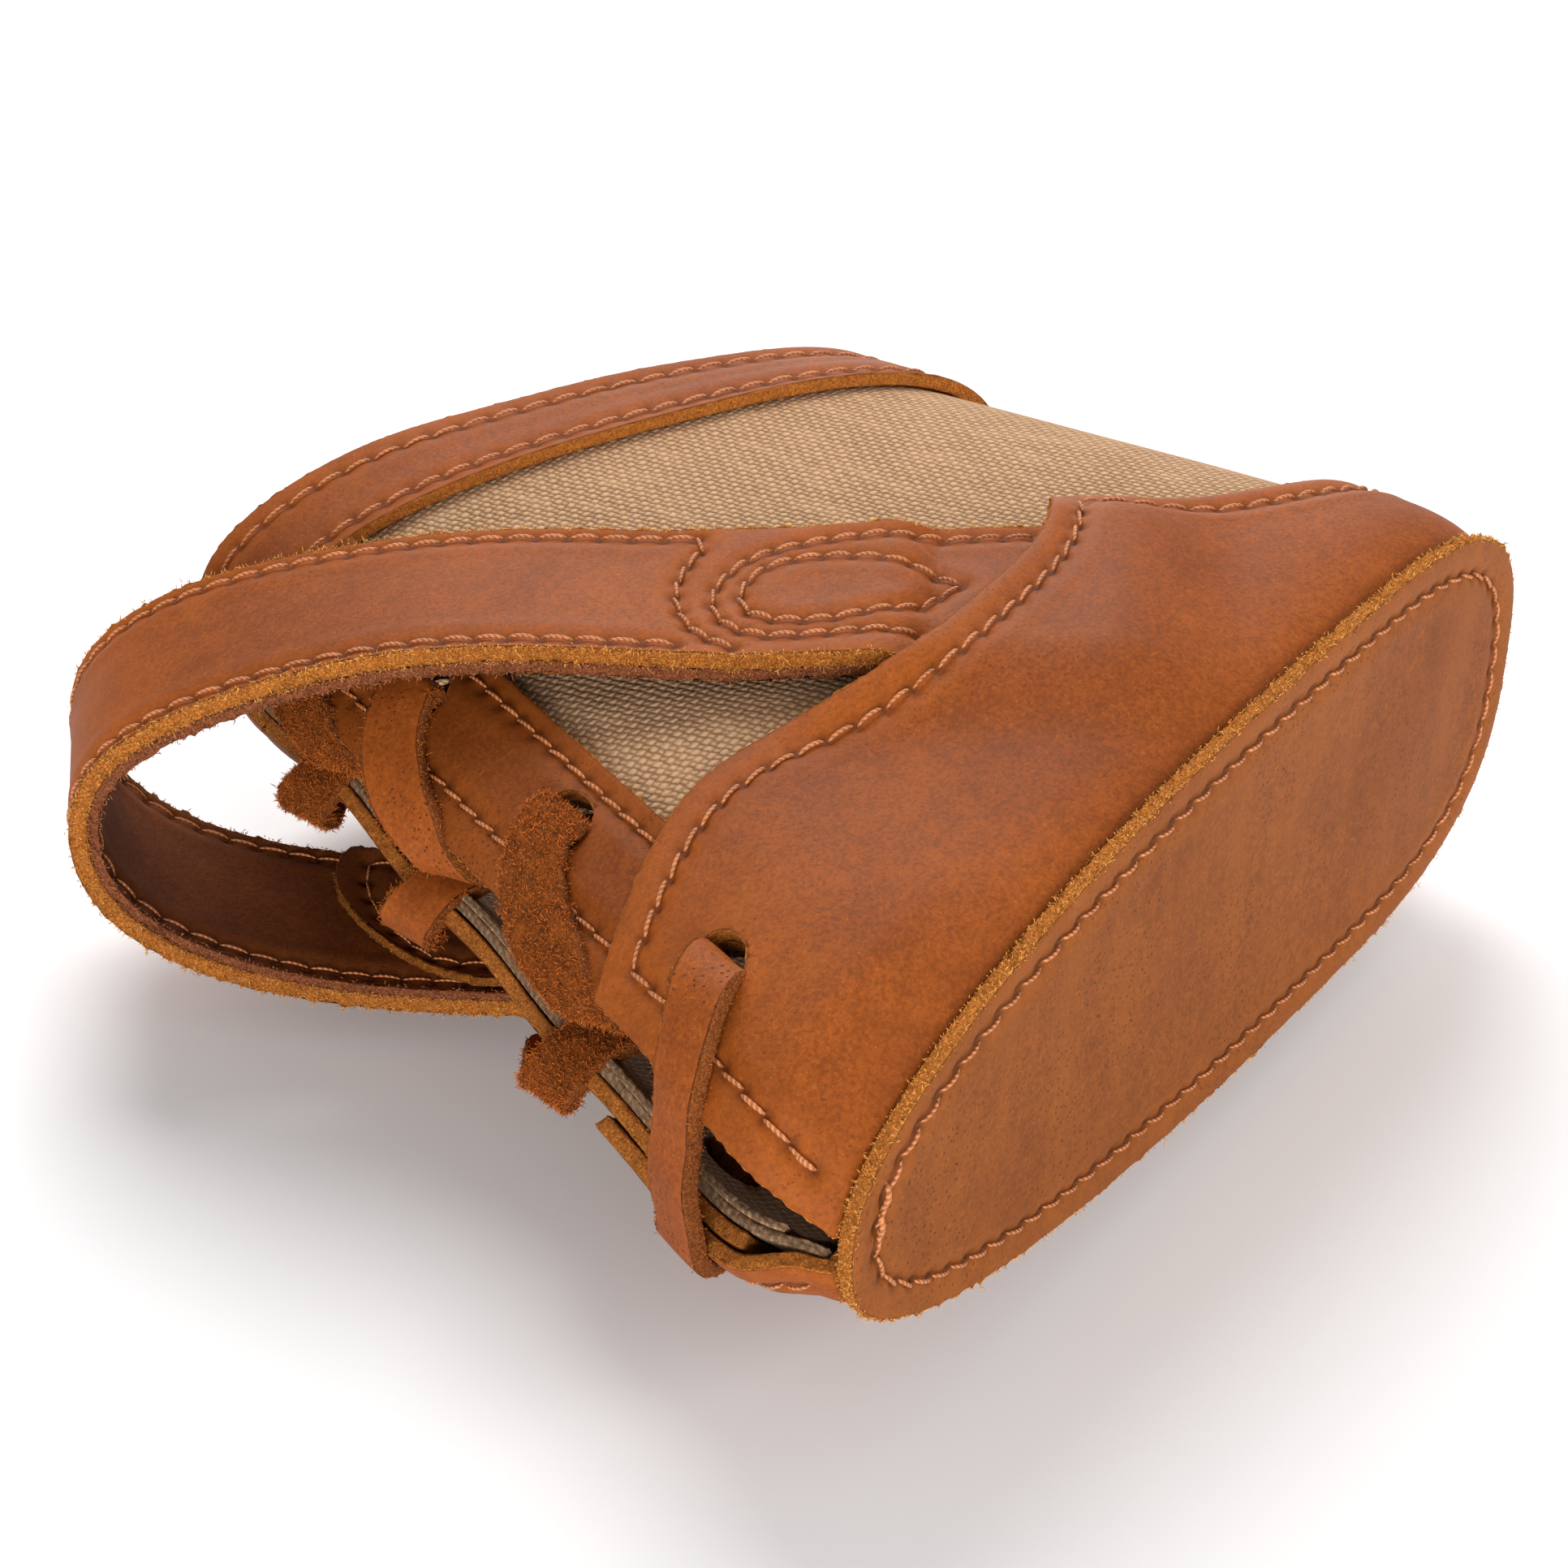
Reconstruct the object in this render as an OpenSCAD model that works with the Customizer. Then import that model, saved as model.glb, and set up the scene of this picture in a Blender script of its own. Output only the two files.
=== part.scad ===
// Laced sleeve of oiled leather and canvas with a carrying loop, lying on its side.
// X runs from the laced side to the heel side, Y from the closed base to the mouth, Z up.

/* [Sleeve] */
// Width of the base oval, from its laced tip to its heel
base_w = 133.8; // [120:0.2:146]
// Thickness of the base oval
base_t = 48.8; // [44:0.2:54]
// Length of the sleeve along the laced side
laced_len = 126.5; // [118:0.5:130]
// Length of the sleeve along the heel
heel_len = 83; // [76:1:92]
// Share of its thickness that the sleeve loses for each millimetre towards the mouth
thinning = 0.00235; // [0.001:0.00005:0.003]
// Slope of the laced side: how far it leans in for each millimetre towards the mouth
lean = 0.425; // [0.3:0.005:0.45]

/* [Leather and cloth] */
// Thickness of the boot, band and facing leather
hide_t = 1.8; // [1.4:0.1:2]
// Thickness of the canvas
canvas_t = 1.1; // [0.8:0.1:1.2]
// Thickness of the lining cloth
lining_t = 0.9; // [0.6:0.1:1]
// Thickness of the base panel
base_panel_t = 2; // [1.6:0.1:2.4]
// Thickness of the pad inside the base
pad_t = 5; // [3:0.5:6]

/* [Leather pieces] */
// Width of the band around the mouth
band_w = 14; // [10:0.5:18]
// Width of the facing strips beside the lacing
facing_w = 17; // [14:0.5:20]
// Height of the boot at the heel
boot_heel_h = 20; // [16:0.5:24]
// Height of the boot's point on each side
boot_point_h = 39.5; // [36:0.5:42]

/* [Lacing] */
// Number of lace holes on each side
hole_count = 4; // [3:1:4]
// Radius of a lace hole
hole_r = 4.2; // [3.8:0.1:4.6]
// Distance of the lace holes from the laced edge
hole_inset = 10; // [9:0.5:11]
// Distance of the lowest hole from the base
hole_first = 24.5; // [23:0.5:26]
// Distance between lace holes
hole_pitch = 28.6; // [26:0.2:29]
// Width of the lace
lace_w = 6.6; // [5:0.2:7]
// Thickness of the lace
lace_t = 1.8; // [1.4:0.1:2]

/* [Loop strap] */
// Width of the strap
strap_w = 25; // [20:0.5:26]
// Thickness of the strap's face leather
face_t = 1.9; // [1.6:0.1:2]
// Thickness of the strap's inner leather
inner_t = 1.3; // [1:0.1:1.4]
// Thickness of the rounded tabs inside the loop
tab_t = 1.4; // [1:0.1:1.5]
// Angle between the strap and the sleeve's length
strap_angle = 31; // [29:0.5:33]
// Reach of the loop along the strap, from the strap's reference point
loop_reach = 76.4; // [72:0.2:80]
// Gap left at the flex line, so that the loop can swing
flex_gap = 3.6; // [3.4:0.1:4.5]

/* [Stitches] */
// Length from one stitch to the next
pitch = 4; // [3.6:0.1:5]
// Width of the thread
thread_w = 0.8; // [0.6:0.1:1]

/* [Hidden] */

LEATHER = "sienna";
CANVAS = "tan";
THREAD = "lightsalmon";
EDGE = "peru";

fit = 0.2;                        // clearance between one layer and the next
ridge_x = 27.8;                   // where the section is thickest
heel_x = 66;                      // heel end of the base oval
tip_x = heel_x - base_w;          // laced end of the base oval
heel_lean = 0.0285;               // how far the heel leans in per millimetre
tip_power = 2.37;                 // roundness of the laced half of the section
heel_power = 2.84;                // roundness of the heel half of the section
pinch_in = 3.4;                   // how far the wall is drawn in at the base seam
pinch_run = 4.5;                  // height over which the wall fills out again
gap_half = 8;                     // half of the widest lacing gap in the canvas
rim_start = -30;                  // where the rim starts to fall towards the heel
rim_run = 95;                     // distance over which it falls
rim_power = 1.3;
band_skew = 0.15;                 // how much narrower the mouth band is at the heel
level_step = 8;                   // spacing of the tabulated sections
level_top = 128;                  // highest tabulated section
table_n = 36;                     // steps round half a section

// How finely the shells are divided: half turns round the sleeve, and rows along it
cloth_columns = 26;
cloth_rows = 11;
boot_columns = 34;
boot_rows = 8;
band_columns = 30;

// How the boot climbs over what lies under it
boot_gap = 0.3;                   // between the boot and the canvas
facing_foot = 11;                 // lower end of the facing, under the boot
strap_climb = 4;                // rise over the strap ends

// Place of the sleeve in the part's frame: the bounding box is centred and stands on Z = 0
shift = [1.2, -64.9, 30.1];
module place() translate(shift) children();

// ---- the sleeve's surface -------------------------------------------------------------

function ramp(v) = let(u = min(max(v, 0), 1)) u * u * (3 - 2 * u);
function half_t(y) = base_t / 2 * (1 - thinning * y);
function heel_at(y) = heel_x - heel_lean * y;
function tip_at(y) = tip_x - 1.6 + lean * ((y - 13) + sqrt((y - 13) * (y - 13) + 60)) / 2;
function pinch(y) = pinch_in * exp(-(y - base_panel_t) / pinch_run);
function gap_at(y) = gap_half * (1 - exp(-(y + 1) / 9)) * (1 - 0.004 * y);

// Upper half of the section at height y, as [x, z]: 0 degrees is the heel, 180 the laced tip
function oval(t, y, inset = 0) = cos(t) >= 0
  ? [ridge_x + (heel_at(y) - inset - ridge_x) * pow(cos(t), 2 / heel_power),
     (half_t(y) - inset) * pow(sin(t), 2 / heel_power)]
  : [ridge_x - (ridge_x - tip_at(y) - inset) * pow(-cos(t), 2 / tip_power),
     (half_t(y) - inset) * pow(sin(t), 2 / tip_power)];
function base_oval(t, inset) = cos(t) >= 0 ? oval(t, 0, inset)
  : [ridge_x - (ridge_x - tip_x - inset) * pow(-cos(t), 2 / tip_power),
     (half_t(0) - inset) * pow(sin(t), 2 / tip_power)];
function normal_at(q, y) =
  let(left = q.x < ridge_x,
      n = left ? tip_power : heel_power,
      a = left ? ridge_x - tip_at(y) : heel_at(y) - ridge_x,
      gx = (left ? -1 : 1) * pow(max(abs(q.x - ridge_x), 0.001) / a, n - 1) / a,
      gz = pow(max(q.y, 0) / half_t(y), n - 1) / half_t(y))
  [gx, gz] / norm([gx, gz]);
function edge_angle(y) = 180 - asin(pow(gap_at(y) / half_t(y), tip_power / 2));
function running(v) = [for (i = 0, s = 0; i <= len(v); s = s + (i < len(v) ? v[i] : 0), i = i + 1) s];
function section_table(y) =
  let(t = [for (i = [0:table_n]) edge_angle(y) * (1 - i / table_n)],
      p = [for (a = t) oval(a, y)],
      s = running([for (i = [1:table_n]) norm(p[i] - p[i - 1])]))
  [for (i = [0:table_n]) [s[i], t[i]]];
TABLE = [for (y = [0:level_step:level_top + level_step]) section_table(y)];
function level(y) = min(max(floor(y / level_step), 0), floor(level_top / level_step) - 1);
function half_len(y) = let(j = level(y), f = y / level_step - j)
  (1 - f) * TABLE[j][table_n][0] + f * TABLE[j + 1][table_n][0];
function angle_at(c, y) = let(j = level(y), f = y / level_step - j)
  (1 - f) * lookup(c * TABLE[j][table_n][0], TABLE[j])
  + f * lookup(c * TABLE[j + 1][table_n][0], TABLE[j + 1]);

// Point of the wall: c is 0 at the laced edge and 1 at the heel, side is 1 above and -1 below
function wall(c, y, off, side = 1) =
  let(q = oval(angle_at(c, y), y), n = normal_at(q, y), e = off - pinch(y))
  [q.x + e * n.x, y, side * (q.y + e * n.y)];
// The same with k from -1, the upper laced edge, over the heel at 0 to 1, the lower one
function wrap(k, y, off) = wall(1 - abs(k), y, off, k > 0 ? -1 : 1);
function x_of(c, y) = oval(angle_at(c, y), y).x;
function c_of(s, y) = s / half_len(y);

// Height of the upper side of the sleeve over a place in plan
function top_z(x, y) =
  let(left = x < ridge_x,
      n = left ? tip_power : heel_power,
      a = left ? ridge_x - tip_at(y) : heel_at(y) - ridge_x)
  half_t(y) * pow(max(1 - pow(abs(x - ridge_x) / a, n), 0), 1 / n);

// ---- outlines on the sleeve -----------------------------------------------------------

function rim_at(x) = laced_len - (laced_len - heel_len) * pow(max(x - rim_start, 0) / rim_run, rim_power);
function rim_c(c) = rim_at(x_of(c, 100));
function band_low_c(c) = rim_c(c) - band_w * (1.1 - band_skew * c);
function boot_edge_x(x) =
  x < -5 ? 36.6 + 4.6 * cos(360 * (x + 40) / 70)
  : x < 24 ? 32 + (boot_point_h - 32) * pow((x + 5) / 29, 2)
  : boot_heel_h + (boot_point_h - boot_heel_h) * pow(max(1 - (x - 24) / 40, 0), 2.5);
function boot_edge_c(c) = boot_edge_x(x_of(c, 32));

// ---- solids from grids ----------------------------------------------------------------

// A closed sheet between an outer and an inner grid of points with the same rows and columns
module sheet(outer, inner) {
  m = len(outer);
  n = len(outer[0]);
  points = concat([for (r = outer) each r], [for (r = inner) each r]);
  b = m * n;
  skin = [for (i = [0:m - 2]) for (j = [0:n - 2]) for (f = [
    [i * n + j, (i + 1) * n + j + 1, i * n + j + 1],
    [i * n + j, (i + 1) * n + j, (i + 1) * n + j + 1],
    [b + i * n + j, b + i * n + j + 1, b + (i + 1) * n + j + 1],
    [b + i * n + j, b + (i + 1) * n + j + 1, b + (i + 1) * n + j]]) f];
  ends = [for (i = [0:m - 2]) for (f = [
    [i * n, b + i * n, b + (i + 1) * n], [i * n, b + (i + 1) * n, (i + 1) * n],
    [i * n + n - 1, b + (i + 1) * n + n - 1, b + i * n + n - 1],
    [i * n + n - 1, (i + 1) * n + n - 1, b + (i + 1) * n + n - 1]]) f];
  l = (m - 1) * n;
  sides = [for (j = [0:n - 2]) for (f = [
    [j, j + 1, b + j + 1], [j, b + j + 1, b + j],
    [l + j, b + l + j + 1, l + j + 1], [l + j, b + l + j, b + l + j + 1]]) f];
  polyhedron(points, concat(skin, ends, sides), convexity = 6);
}

// A flat band of width w and thickness t swept along points p; across holds its width directions
module band(p, across, w, t) {
  n = len(p);
  dir = [for (i = [0:n - 1]) p[min(i + 1, n - 1)] - p[max(i - 1, 0)]];
  up = [for (i = [0:n - 1]) let(v = cross(across[i], dir[i])) v / norm(v)];
  wide = [for (i = [0:n - 1]) across[i] / norm(across[i]) * w / 2];
  sheet([for (i = [0:n - 1]) [p[i] + wide[i] + up[i] * t / 2, p[i] - wide[i] + up[i] * t / 2]],
        [for (i = [0:n - 1]) [p[i] + wide[i] - up[i] * t / 2, p[i] - wide[i] - up[i] * t / 2]]);
}

// Stitches of a seam: low points lie on the leather and high points stand above it
module seam(low, high, step = pitch) {
  s = running([for (i = [1:len(low) - 1]) norm(low[i] - low[i - 1])]);
  count = round(s[len(s) - 1] / step);
  gap = s[len(s) - 1] / count;
  function tab(v, a) = [for (i = [0:len(s) - 1]) [s[i], v[i][a]]];
  lt = [for (a = [0:2]) tab(low, a)];
  ht = [for (a = [0:2]) tab(high, a)];
  for (i = [0:count - 1]) {
    u = (i + 0.12) * gap;
    v = (i + 0.88) * gap;
    a = [for (t = lt) lookup(u, t)];
    b = [for (t = lt) lookup(v, t)];
    ah = [for (t = ht) lookup(u, t)];
    bh = [for (t = ht) lookup(v, t)];
    side = cross(b - a, ah - a) / norm(cross(b - a, ah - a)) * thread_w / 2;
    polyhedron([a + side, a - side, ah, b + side, b - side, bh],
      [[0, 1, 2], [3, 5, 4], [0, 2, 5], [0, 5, 3], [2, 1, 4], [2, 4, 5], [1, 0, 3], [1, 3, 4]]);
  }
}

module flip(side) {
  if (side > 0) children();
  else mirror([0, 0, 1]) children();
}

// ---- lace holes -----------------------------------------------------------------------

hole_top = laced_len - band_w * 1.1 - hole_r - 1.5;   // the highest hole stays clear of the band
function hole_y(i) = min(hole_first + hole_pitch * i, hole_top);
function hole_c(i) = c_of(hole_inset, hole_y(i));
module hole_cutters(side, first = 0) {
  for (i = [first:hole_count - 1]) {
    a = wall(hole_c(i), hole_y(i), -8, side);
    b = wall(hole_c(i), hole_y(i), 8, side);
    d = b - a;
    translate(a) rotate([0, acos(d.z / norm(d)), atan2(d.y, d.x)])
      cylinder(h = norm(d), r = hole_r, $fn = 24);
  }
}

// ---- sleeve ---------------------------------------------------------------------------

wall_foot = base_panel_t + hide_t + 2 * fit;   // where the canvas starts, on the boot's turned-in edge
module oval_plate(inset, y0, y1) {
  n = 60;
  upper = [for (i = [0:n]) base_oval(180 * i / n, inset)];
  lower = [for (i = [1:n - 1]) let(q = base_oval(180 * (n - i) / n, inset)) [q.x, -q.y]];
  translate([0, y1, 0]) rotate([90, 0, 0]) linear_extrude(y1 - y0) polygon(concat(upper, lower));
}
// The seam round the base lies in a groove, so that the sleeve can stand on the panel
groove_d = 0.85;
groove_w = 1.7;
module base_panel() color(LEATHER) place() difference() {
  oval_plate(0, 0, base_panel_t);
  difference() {
    oval_plate(stitch_in - groove_w / 2, -1, groove_d);
    oval_plate(stitch_in + groove_w / 2, -2, groove_d + 1);
  }
}
module base_pad() color("dimgray") place() oval_plate(7, wall_foot, wall_foot + pad_t);

module cloth_shell(out, thick, y0) {
  ks = [for (i = [-cloth_columns:cloth_columns]) i / cloth_columns];
  vs = [for (j = [0:cloth_rows]) pow(j / cloth_rows, 1.6)];
  function row(v, off) = [for (k = ks)
    let(top = rim_c(1 - abs(k)) - 0.4) wrap(k, y0 + (top - y0) * v, off)];
  difference() {
    sheet([for (v = vs) row(v, out)], [for (v = vs) row(v, out - thick)]);
    hole_cutters(1);
    hole_cutters(-1);
  }
}
module canvas_body() color(CANVAS) place() cloth_shell(0, canvas_t, wall_foot);
module lining() color("gray") place()
  cloth_shell(-canvas_t - 2 * fit, lining_t, wall_foot + pad_t + fit);

// How far the boot's inside stands off the canvas: it climbs over the facing and the strap ends
function boot_lift(c, y) =
  let(x = x_of(c, y), s = c * half_len(y), p = to_strap(x, y))
  boot_gap + (hide_t + 2 * fit) * ramp((facing_w + 7 - s) / 5) * ramp((y - facing_foot + 8) / 6)
  + strap_climb * ramp((p.x + 50) / 9) * ramp((19 - abs(p.y)) / 4);
module boot() {
  ks = [for (i = [-boot_columns:boot_columns]) i / boot_columns];
  vs = [for (j = [0:boot_rows]) j / boot_rows];
  foot = base_panel_t + fit;
  function row(v, extra, y0) = [for (k = ks)
    let(c = 1 - abs(k), y = y0 + (boot_edge_c(c) - y0) * v) wrap(k, y, boot_lift(c, y) + extra)];
  function flange(y) = [for (k = ks) let(c = 1 - abs(k), q = base_oval(angle_at(c, 0), 9.5))
    [q.x, y, (k > 0 ? -1 : 1) * q.y]];
  color(LEATHER) place() difference() {
    sheet(concat([flange(foot)], [for (v = vs) row(v, hide_t, foot)]),
          concat([flange(foot + hide_t)], [for (v = vs) row(v, 0, foot + hide_t)]));
    hole_cutters(1);
    hole_cutters(-1);
  }
}

module mouth_band() {
  ks = [for (i = [-band_columns:band_columns]) i / band_columns];
  vs = [for (j = [0:3]) j / 3];
  function row(v, off) = [for (k = ks)
    let(c = 1 - abs(k)) wrap(k, band_low_c(c) * (1 - v) + rim_c(c) * v, off)];
  color(LEATHER) place() difference() {
    sheet([for (v = vs) row(v, fit + hide_t)], [for (v = vs) row(v, fit)]);
    hole_cutters(1);
    hole_cutters(-1);
  }
}

module facing(side) {
  vs = [for (j = [0:15]) j / 15];
  ss = [for (j = [0:4]) j / 4 * facing_w];
  function row(v, off) = [for (s = ss)
    let(top = band_low_c(c_of(s, 110)) - 0.3, y = facing_foot + (top - facing_foot) * v)
    wall(c_of(s, y), y, off)];
  place() flip(side) difference() {
    sheet([for (v = vs) row(v, fit + hide_t)], [for (v = vs) row(v, fit)]);
    hole_cutters(1);
  }
}
module facing_a() color(LEATHER) facing(1);
module facing_b() color(LEATHER) facing(-1);

// ---- loop strap -----------------------------------------------------------------------

strap_ref = [-10, 55];            // reference point on the strap's middle line, in plan
along = [-sin(strap_angle), cos(strap_angle)];
over = [cos(strap_angle), sin(strap_angle)];
strap_t = face_t + inner_t + 0.1;
rest_z = 20.9;                    // height of the strap's inside where it leaves the sleeve
tuck = -38;                       // end of the strap under the boot
flex = 21;                        // flex line, along the strap
skew = 0.264;                     // how far the fold of the loop is turned
bend_start = 20;                  // where the strap starts to bend round
bend_power = 2.25;
droop = 4.2;                      // how far the fold hangs below the middle

function to_strap(x, y) = let(d = [x, y] - strap_ref) [d * along, d * over];
function in_plan(s, w) = strap_ref + along * s + over * w;
// Inside of a sewn strap end above the sleeve
function end_z(s, w) =
  let(q = in_plan(s, w), body = top_z(q.x, q.y) + fit + 0.1 + (tab_t + 2 * fit) * ramp((s + 20) / 6),
      free = rest_z + min(s + 5, 0) * 0.3)
  max(body, free);
module strap_end(side, below, thick) {
  ss = [for (i = [0:12]) tuck + (flex - flex_gap / 2 - tuck) * i / 12];
  ws = [for (i = [0:6]) strap_w * (0.5 - i / 6)];
  function row(s, up) = [for (w = ws) let(q = in_plan(s, w)) [q.x, q.y, end_z(s, w) + up]];
  place() flip(side) sheet([for (s = ss) row(s, below + thick)], [for (s = ss) row(s, below)]);
}
module strap_face_end_a() color(LEATHER) strap_end(1, inner_t + 0.1, face_t);
module strap_face_end_b() color(LEATHER) strap_end(-1, inner_t + 0.1, face_t);
module strap_inner_end_a() color(EDGE) strap_end(1, 0, inner_t);
module strap_inner_end_b() color(EDGE) strap_end(-1, 0, inner_t);

// Profile of the loop's inside, as [along, z], at angle a: 90 above the flex line, 0 at the fold
function loop_profile(a, grow) =
  let(reach = loop_reach - strap_t + grow - bend_start, high = rest_z + grow,
      s = bend_start + reach * pow(max(cos(a), 0), 2 / bend_power),
      z = high * sign(sin(a)) * pow(abs(sin(a)), 2 / bend_power))
  [s, z - droop * ramp((s - 15) / 60)];
function loop_point(q, w) =
  let(p = in_plan(q[0] + skew * w * ramp((q[0] - 22) / 40), w)) [p.x, p.y, q[1]];
// Angles along the loop, from the upper flex line round the fold to the lower one
loop_steps = 14;
LOOP_ANGLES = [for (i = [loop_steps:-1:-loop_steps]) 90 * sign(i) * pow(abs(i) / loop_steps, 0.8)];
function loop_rows(grow) =
  let(start = flex + flex_gap / 2,
      kept = [for (a = LOOP_ANGLES) let(q = loop_profile(a, grow)) if (q[0] > start + 1) q])
  concat([[start, rest_z + grow]], kept, [[start, -rest_z - grow]]);
module loop_layer(below, thick) {
  ws = [for (i = [0:3]) strap_w * (0.5 - i / 3)];
  outer = loop_rows(below + thick);
  inner = loop_rows(below);
  place() sheet([for (q = outer) [for (w = ws) loop_point(q, w)]],
                [for (q = inner) [for (w = ws) loop_point(q, w)]]);
}
module strap_face_loop() color(LEATHER) loop_layer(inner_t + 0.1, face_t);
module strap_inner_loop() color(EDGE) loop_layer(0, inner_t);

// Rounded tabs between the strap and the sleeve
tab_reach = 47.4;                 // tip of the tab along the strap
tab_mid = 6;                      // middle of the rounded tip across the strap
tab_round = 15;                   // where the rounding starts
function tab_half(s) = 20 * sqrt(max(1 - pow(max(s - tab_round, 0) / (tab_reach - tab_round), 2), 0.0004));
function tab_low(s) = max(tab_mid - tab_half(s), -strap_w / 2 + 0.5);
function tab_high(s) = min(tab_mid + tab_half(s), strap_w / 2 - 0.5);
module tab_root(side) {
  ss = [for (i = [0:6]) -14 + (flex - flex_gap / 2 + 14) * i / 6];
  function row(s, down) = [for (i = [0:4])
    let(w = tab_high(s) * (1 - i / 4) + tab_low(s) * i / 4, q = in_plan(s, w))
    [q.x, q.y, end_z(s, w) - down]];
  place() flip(side) sheet([for (s = ss) row(s, 0.15)], [for (s = ss) row(s, 0.15 + tab_t)]);
}
module tab_root_a() color(LEATHER) tab_root(1);
module tab_root_b() color(LEATHER) tab_root(-1);
function upper_leg(s, grow, side) =
  let(reach = loop_reach - strap_t + grow - bend_start,
      f = 1 - pow(max(s - bend_start, 0) / reach, bend_power))
  side * (rest_z + grow) * pow(f, 1 / bend_power) - droop * ramp((s - 15) / 60);
module tab_tip(side) {
  start = flex + flex_gap / 2;
  ss = [for (i = [0:8]) start + (tab_reach - start) * sin(90 * i / 8)];
  function row(s, down) = [for (i = [0:4])
    let(w = tab_high(s) * (1 - i / 4) + tab_low(s) * i / 4)
    loop_point([s, upper_leg(s, -down, side)], w)];
  near = [for (s = ss) row(s, 0.15)];
  far = [for (s = ss) row(s, 0.15 + tab_t)];
  place() sheet(side > 0 ? near : far, side > 0 ? far : near);
}
module tab_tip_a() color(LEATHER) tab_tip(1);
module tab_tip_b() color(LEATHER) tab_tip(-1);

// ---- lace -----------------------------------------------------------------------------

// The bar: out of the lowest upper hole, straight down over both edges, into the lowest lower hole
module lace_bar() color(LEATHER) place() {
  y = hole_y(0);
  lift = boot_lift(hole_c(0), y) + hide_t + lace_t / 2 + 0.3;
  half = [wall(hole_c(0), y, -4), wall(hole_c(0), y, lift - 1), wall(hole_c(0) * 0.75, y - 0.4, lift + 1.2),
    wall(hole_c(0) * 0.4, y - 0.8, lift + 1.2), wall(0, y - 1, lift + 0.8),
    wall(0, y - 1.2, lift + 0.8) + [-2, 0, -5]];
  other = [for (i = [len(half) - 1:-1:0]) [half[i].x, half[i].y, -half[i].z]];
  path = concat(half, other);
  band(path, [for (q = path) [0.38, 1, 0]], lace_w, lace_t);
}
// One crossing: out of hole i, back over the laced edge, and in through the gap
module lace_crossing(i, lane) {
  y = hole_y(i);
  c = hole_c(i);
  lift = fit + hide_t + lace_t / 2 + 0.3;
  fall = 9;
  e = wall(0, y - fall, lift);
  path = [wall(c, y, -4), wall(c, y, lift - 1), wall(c * 0.8, y - fall * 0.15, lift + 0.7),
    wall(c * 0.4, y - fall * 0.6, lift + 0.5), e + [-0.6, 0, 0.3], e + [-2.4, -1.2, -1.4],
    e + [-1.6, -2.2, -3.6], e + [lane, -3.4, -5]];
  dir = [for (j = [0:len(path) - 1]) path[min(j + 1, len(path) - 1)] - path[max(j - 1, 0)]];
  band(path, [for (d = dir) let(v = [0.5, 1, 0.15], u = d / norm(d)) v - (v * u) * u], lace_w, lace_t);
}
module lace_over(side, lane) place() flip(side)
  for (i = [1:hole_count - 1]) lace_crossing(i, lane);
module lace_over_a() color(LEATHER) lace_over(1, 3);
module lace_over_b() color(LEATHER) lace_over(-1, 3);

// ---- stitching ------------------------------------------------------------------------

thread_h = 0.7;                   // how far a stitch stands above the leather
lift_off = 0.05;
seam_clear = 0.8;                 // clearance of a seam above leather that is bent two ways
stitch_in = 4;                    // distance of a seam from its edge

module base_stitching() {
  function ring(y) = [for (i = [0:144])
    let(t = 360 * i / 144, q = base_oval(t <= 180 ? t : 360 - t, stitch_in))
    [q.x, y, t <= 180 ? q.y : -q.y]];
  color(THREAD) place() seam(ring(groove_d - lift_off), ring(groove_d - thread_h));
}

module boot_stitching(side) {
  function top_line(up) = [for (i = [0:60])
    let(c = c_of(stitch_in, 36) + (1 - c_of(stitch_in, 36)) * i / 60, y = boot_edge_c(c) - stitch_in)
    wall(c, y, boot_lift(c, y) + hide_t + up)];
  function side_line(up) = [for (i = [0:12])
    let(y = boot_edge_c(0) - stitch_in - 2 - i / 12 * 27, c = c_of(stitch_in, y))
    wall(c, y, boot_lift(c, y) + hide_t + up)];
  place() flip(side) {
    seam(top_line(seam_clear), top_line(seam_clear + thread_h));
    seam(side_line(seam_clear), side_line(seam_clear + thread_h));
  }
}
module boot_stitching_a() color(THREAD) boot_stitching(1);
module boot_stitching_b() color(THREAD) boot_stitching(-1);

module mouth_stitching() {
  function line(inset, up) = [for (i = [-48:48])
    let(k = i / 48, c = 1 - abs(k), y = inset > 0 ? rim_c(c) - inset : band_low_c(c) - inset)
    wrap(k * (1 - stitch_in / half_len(100)), y, fit + hide_t + up)];
  color(THREAD) place() for (inset = [3, -2.5])
    seam(line(inset, lift_off + 0.1), line(inset, thread_h + 0.1), pitch * 1.1);
}

module facing_stitching(side) {
  function line(s, up) = [for (i = [0:14])
    let(low = boot_edge_c(c_of(s, 40)) + 2, top = band_low_c(c_of(s, 110)) - 2,
        y = low + (top - low) * i / 14)
    wall(c_of(s, y), y, fit + hide_t + up)];
  place() flip(side) for (s = [stitch_in, facing_w - 2.5])
    seam(line(s, lift_off + 0.1), line(s, thread_h + 0.1));
}
module facing_stitching_a() color(THREAD) facing_stitching(1);
module facing_stitching_b() color(THREAD) facing_stitching(-1);

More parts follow.
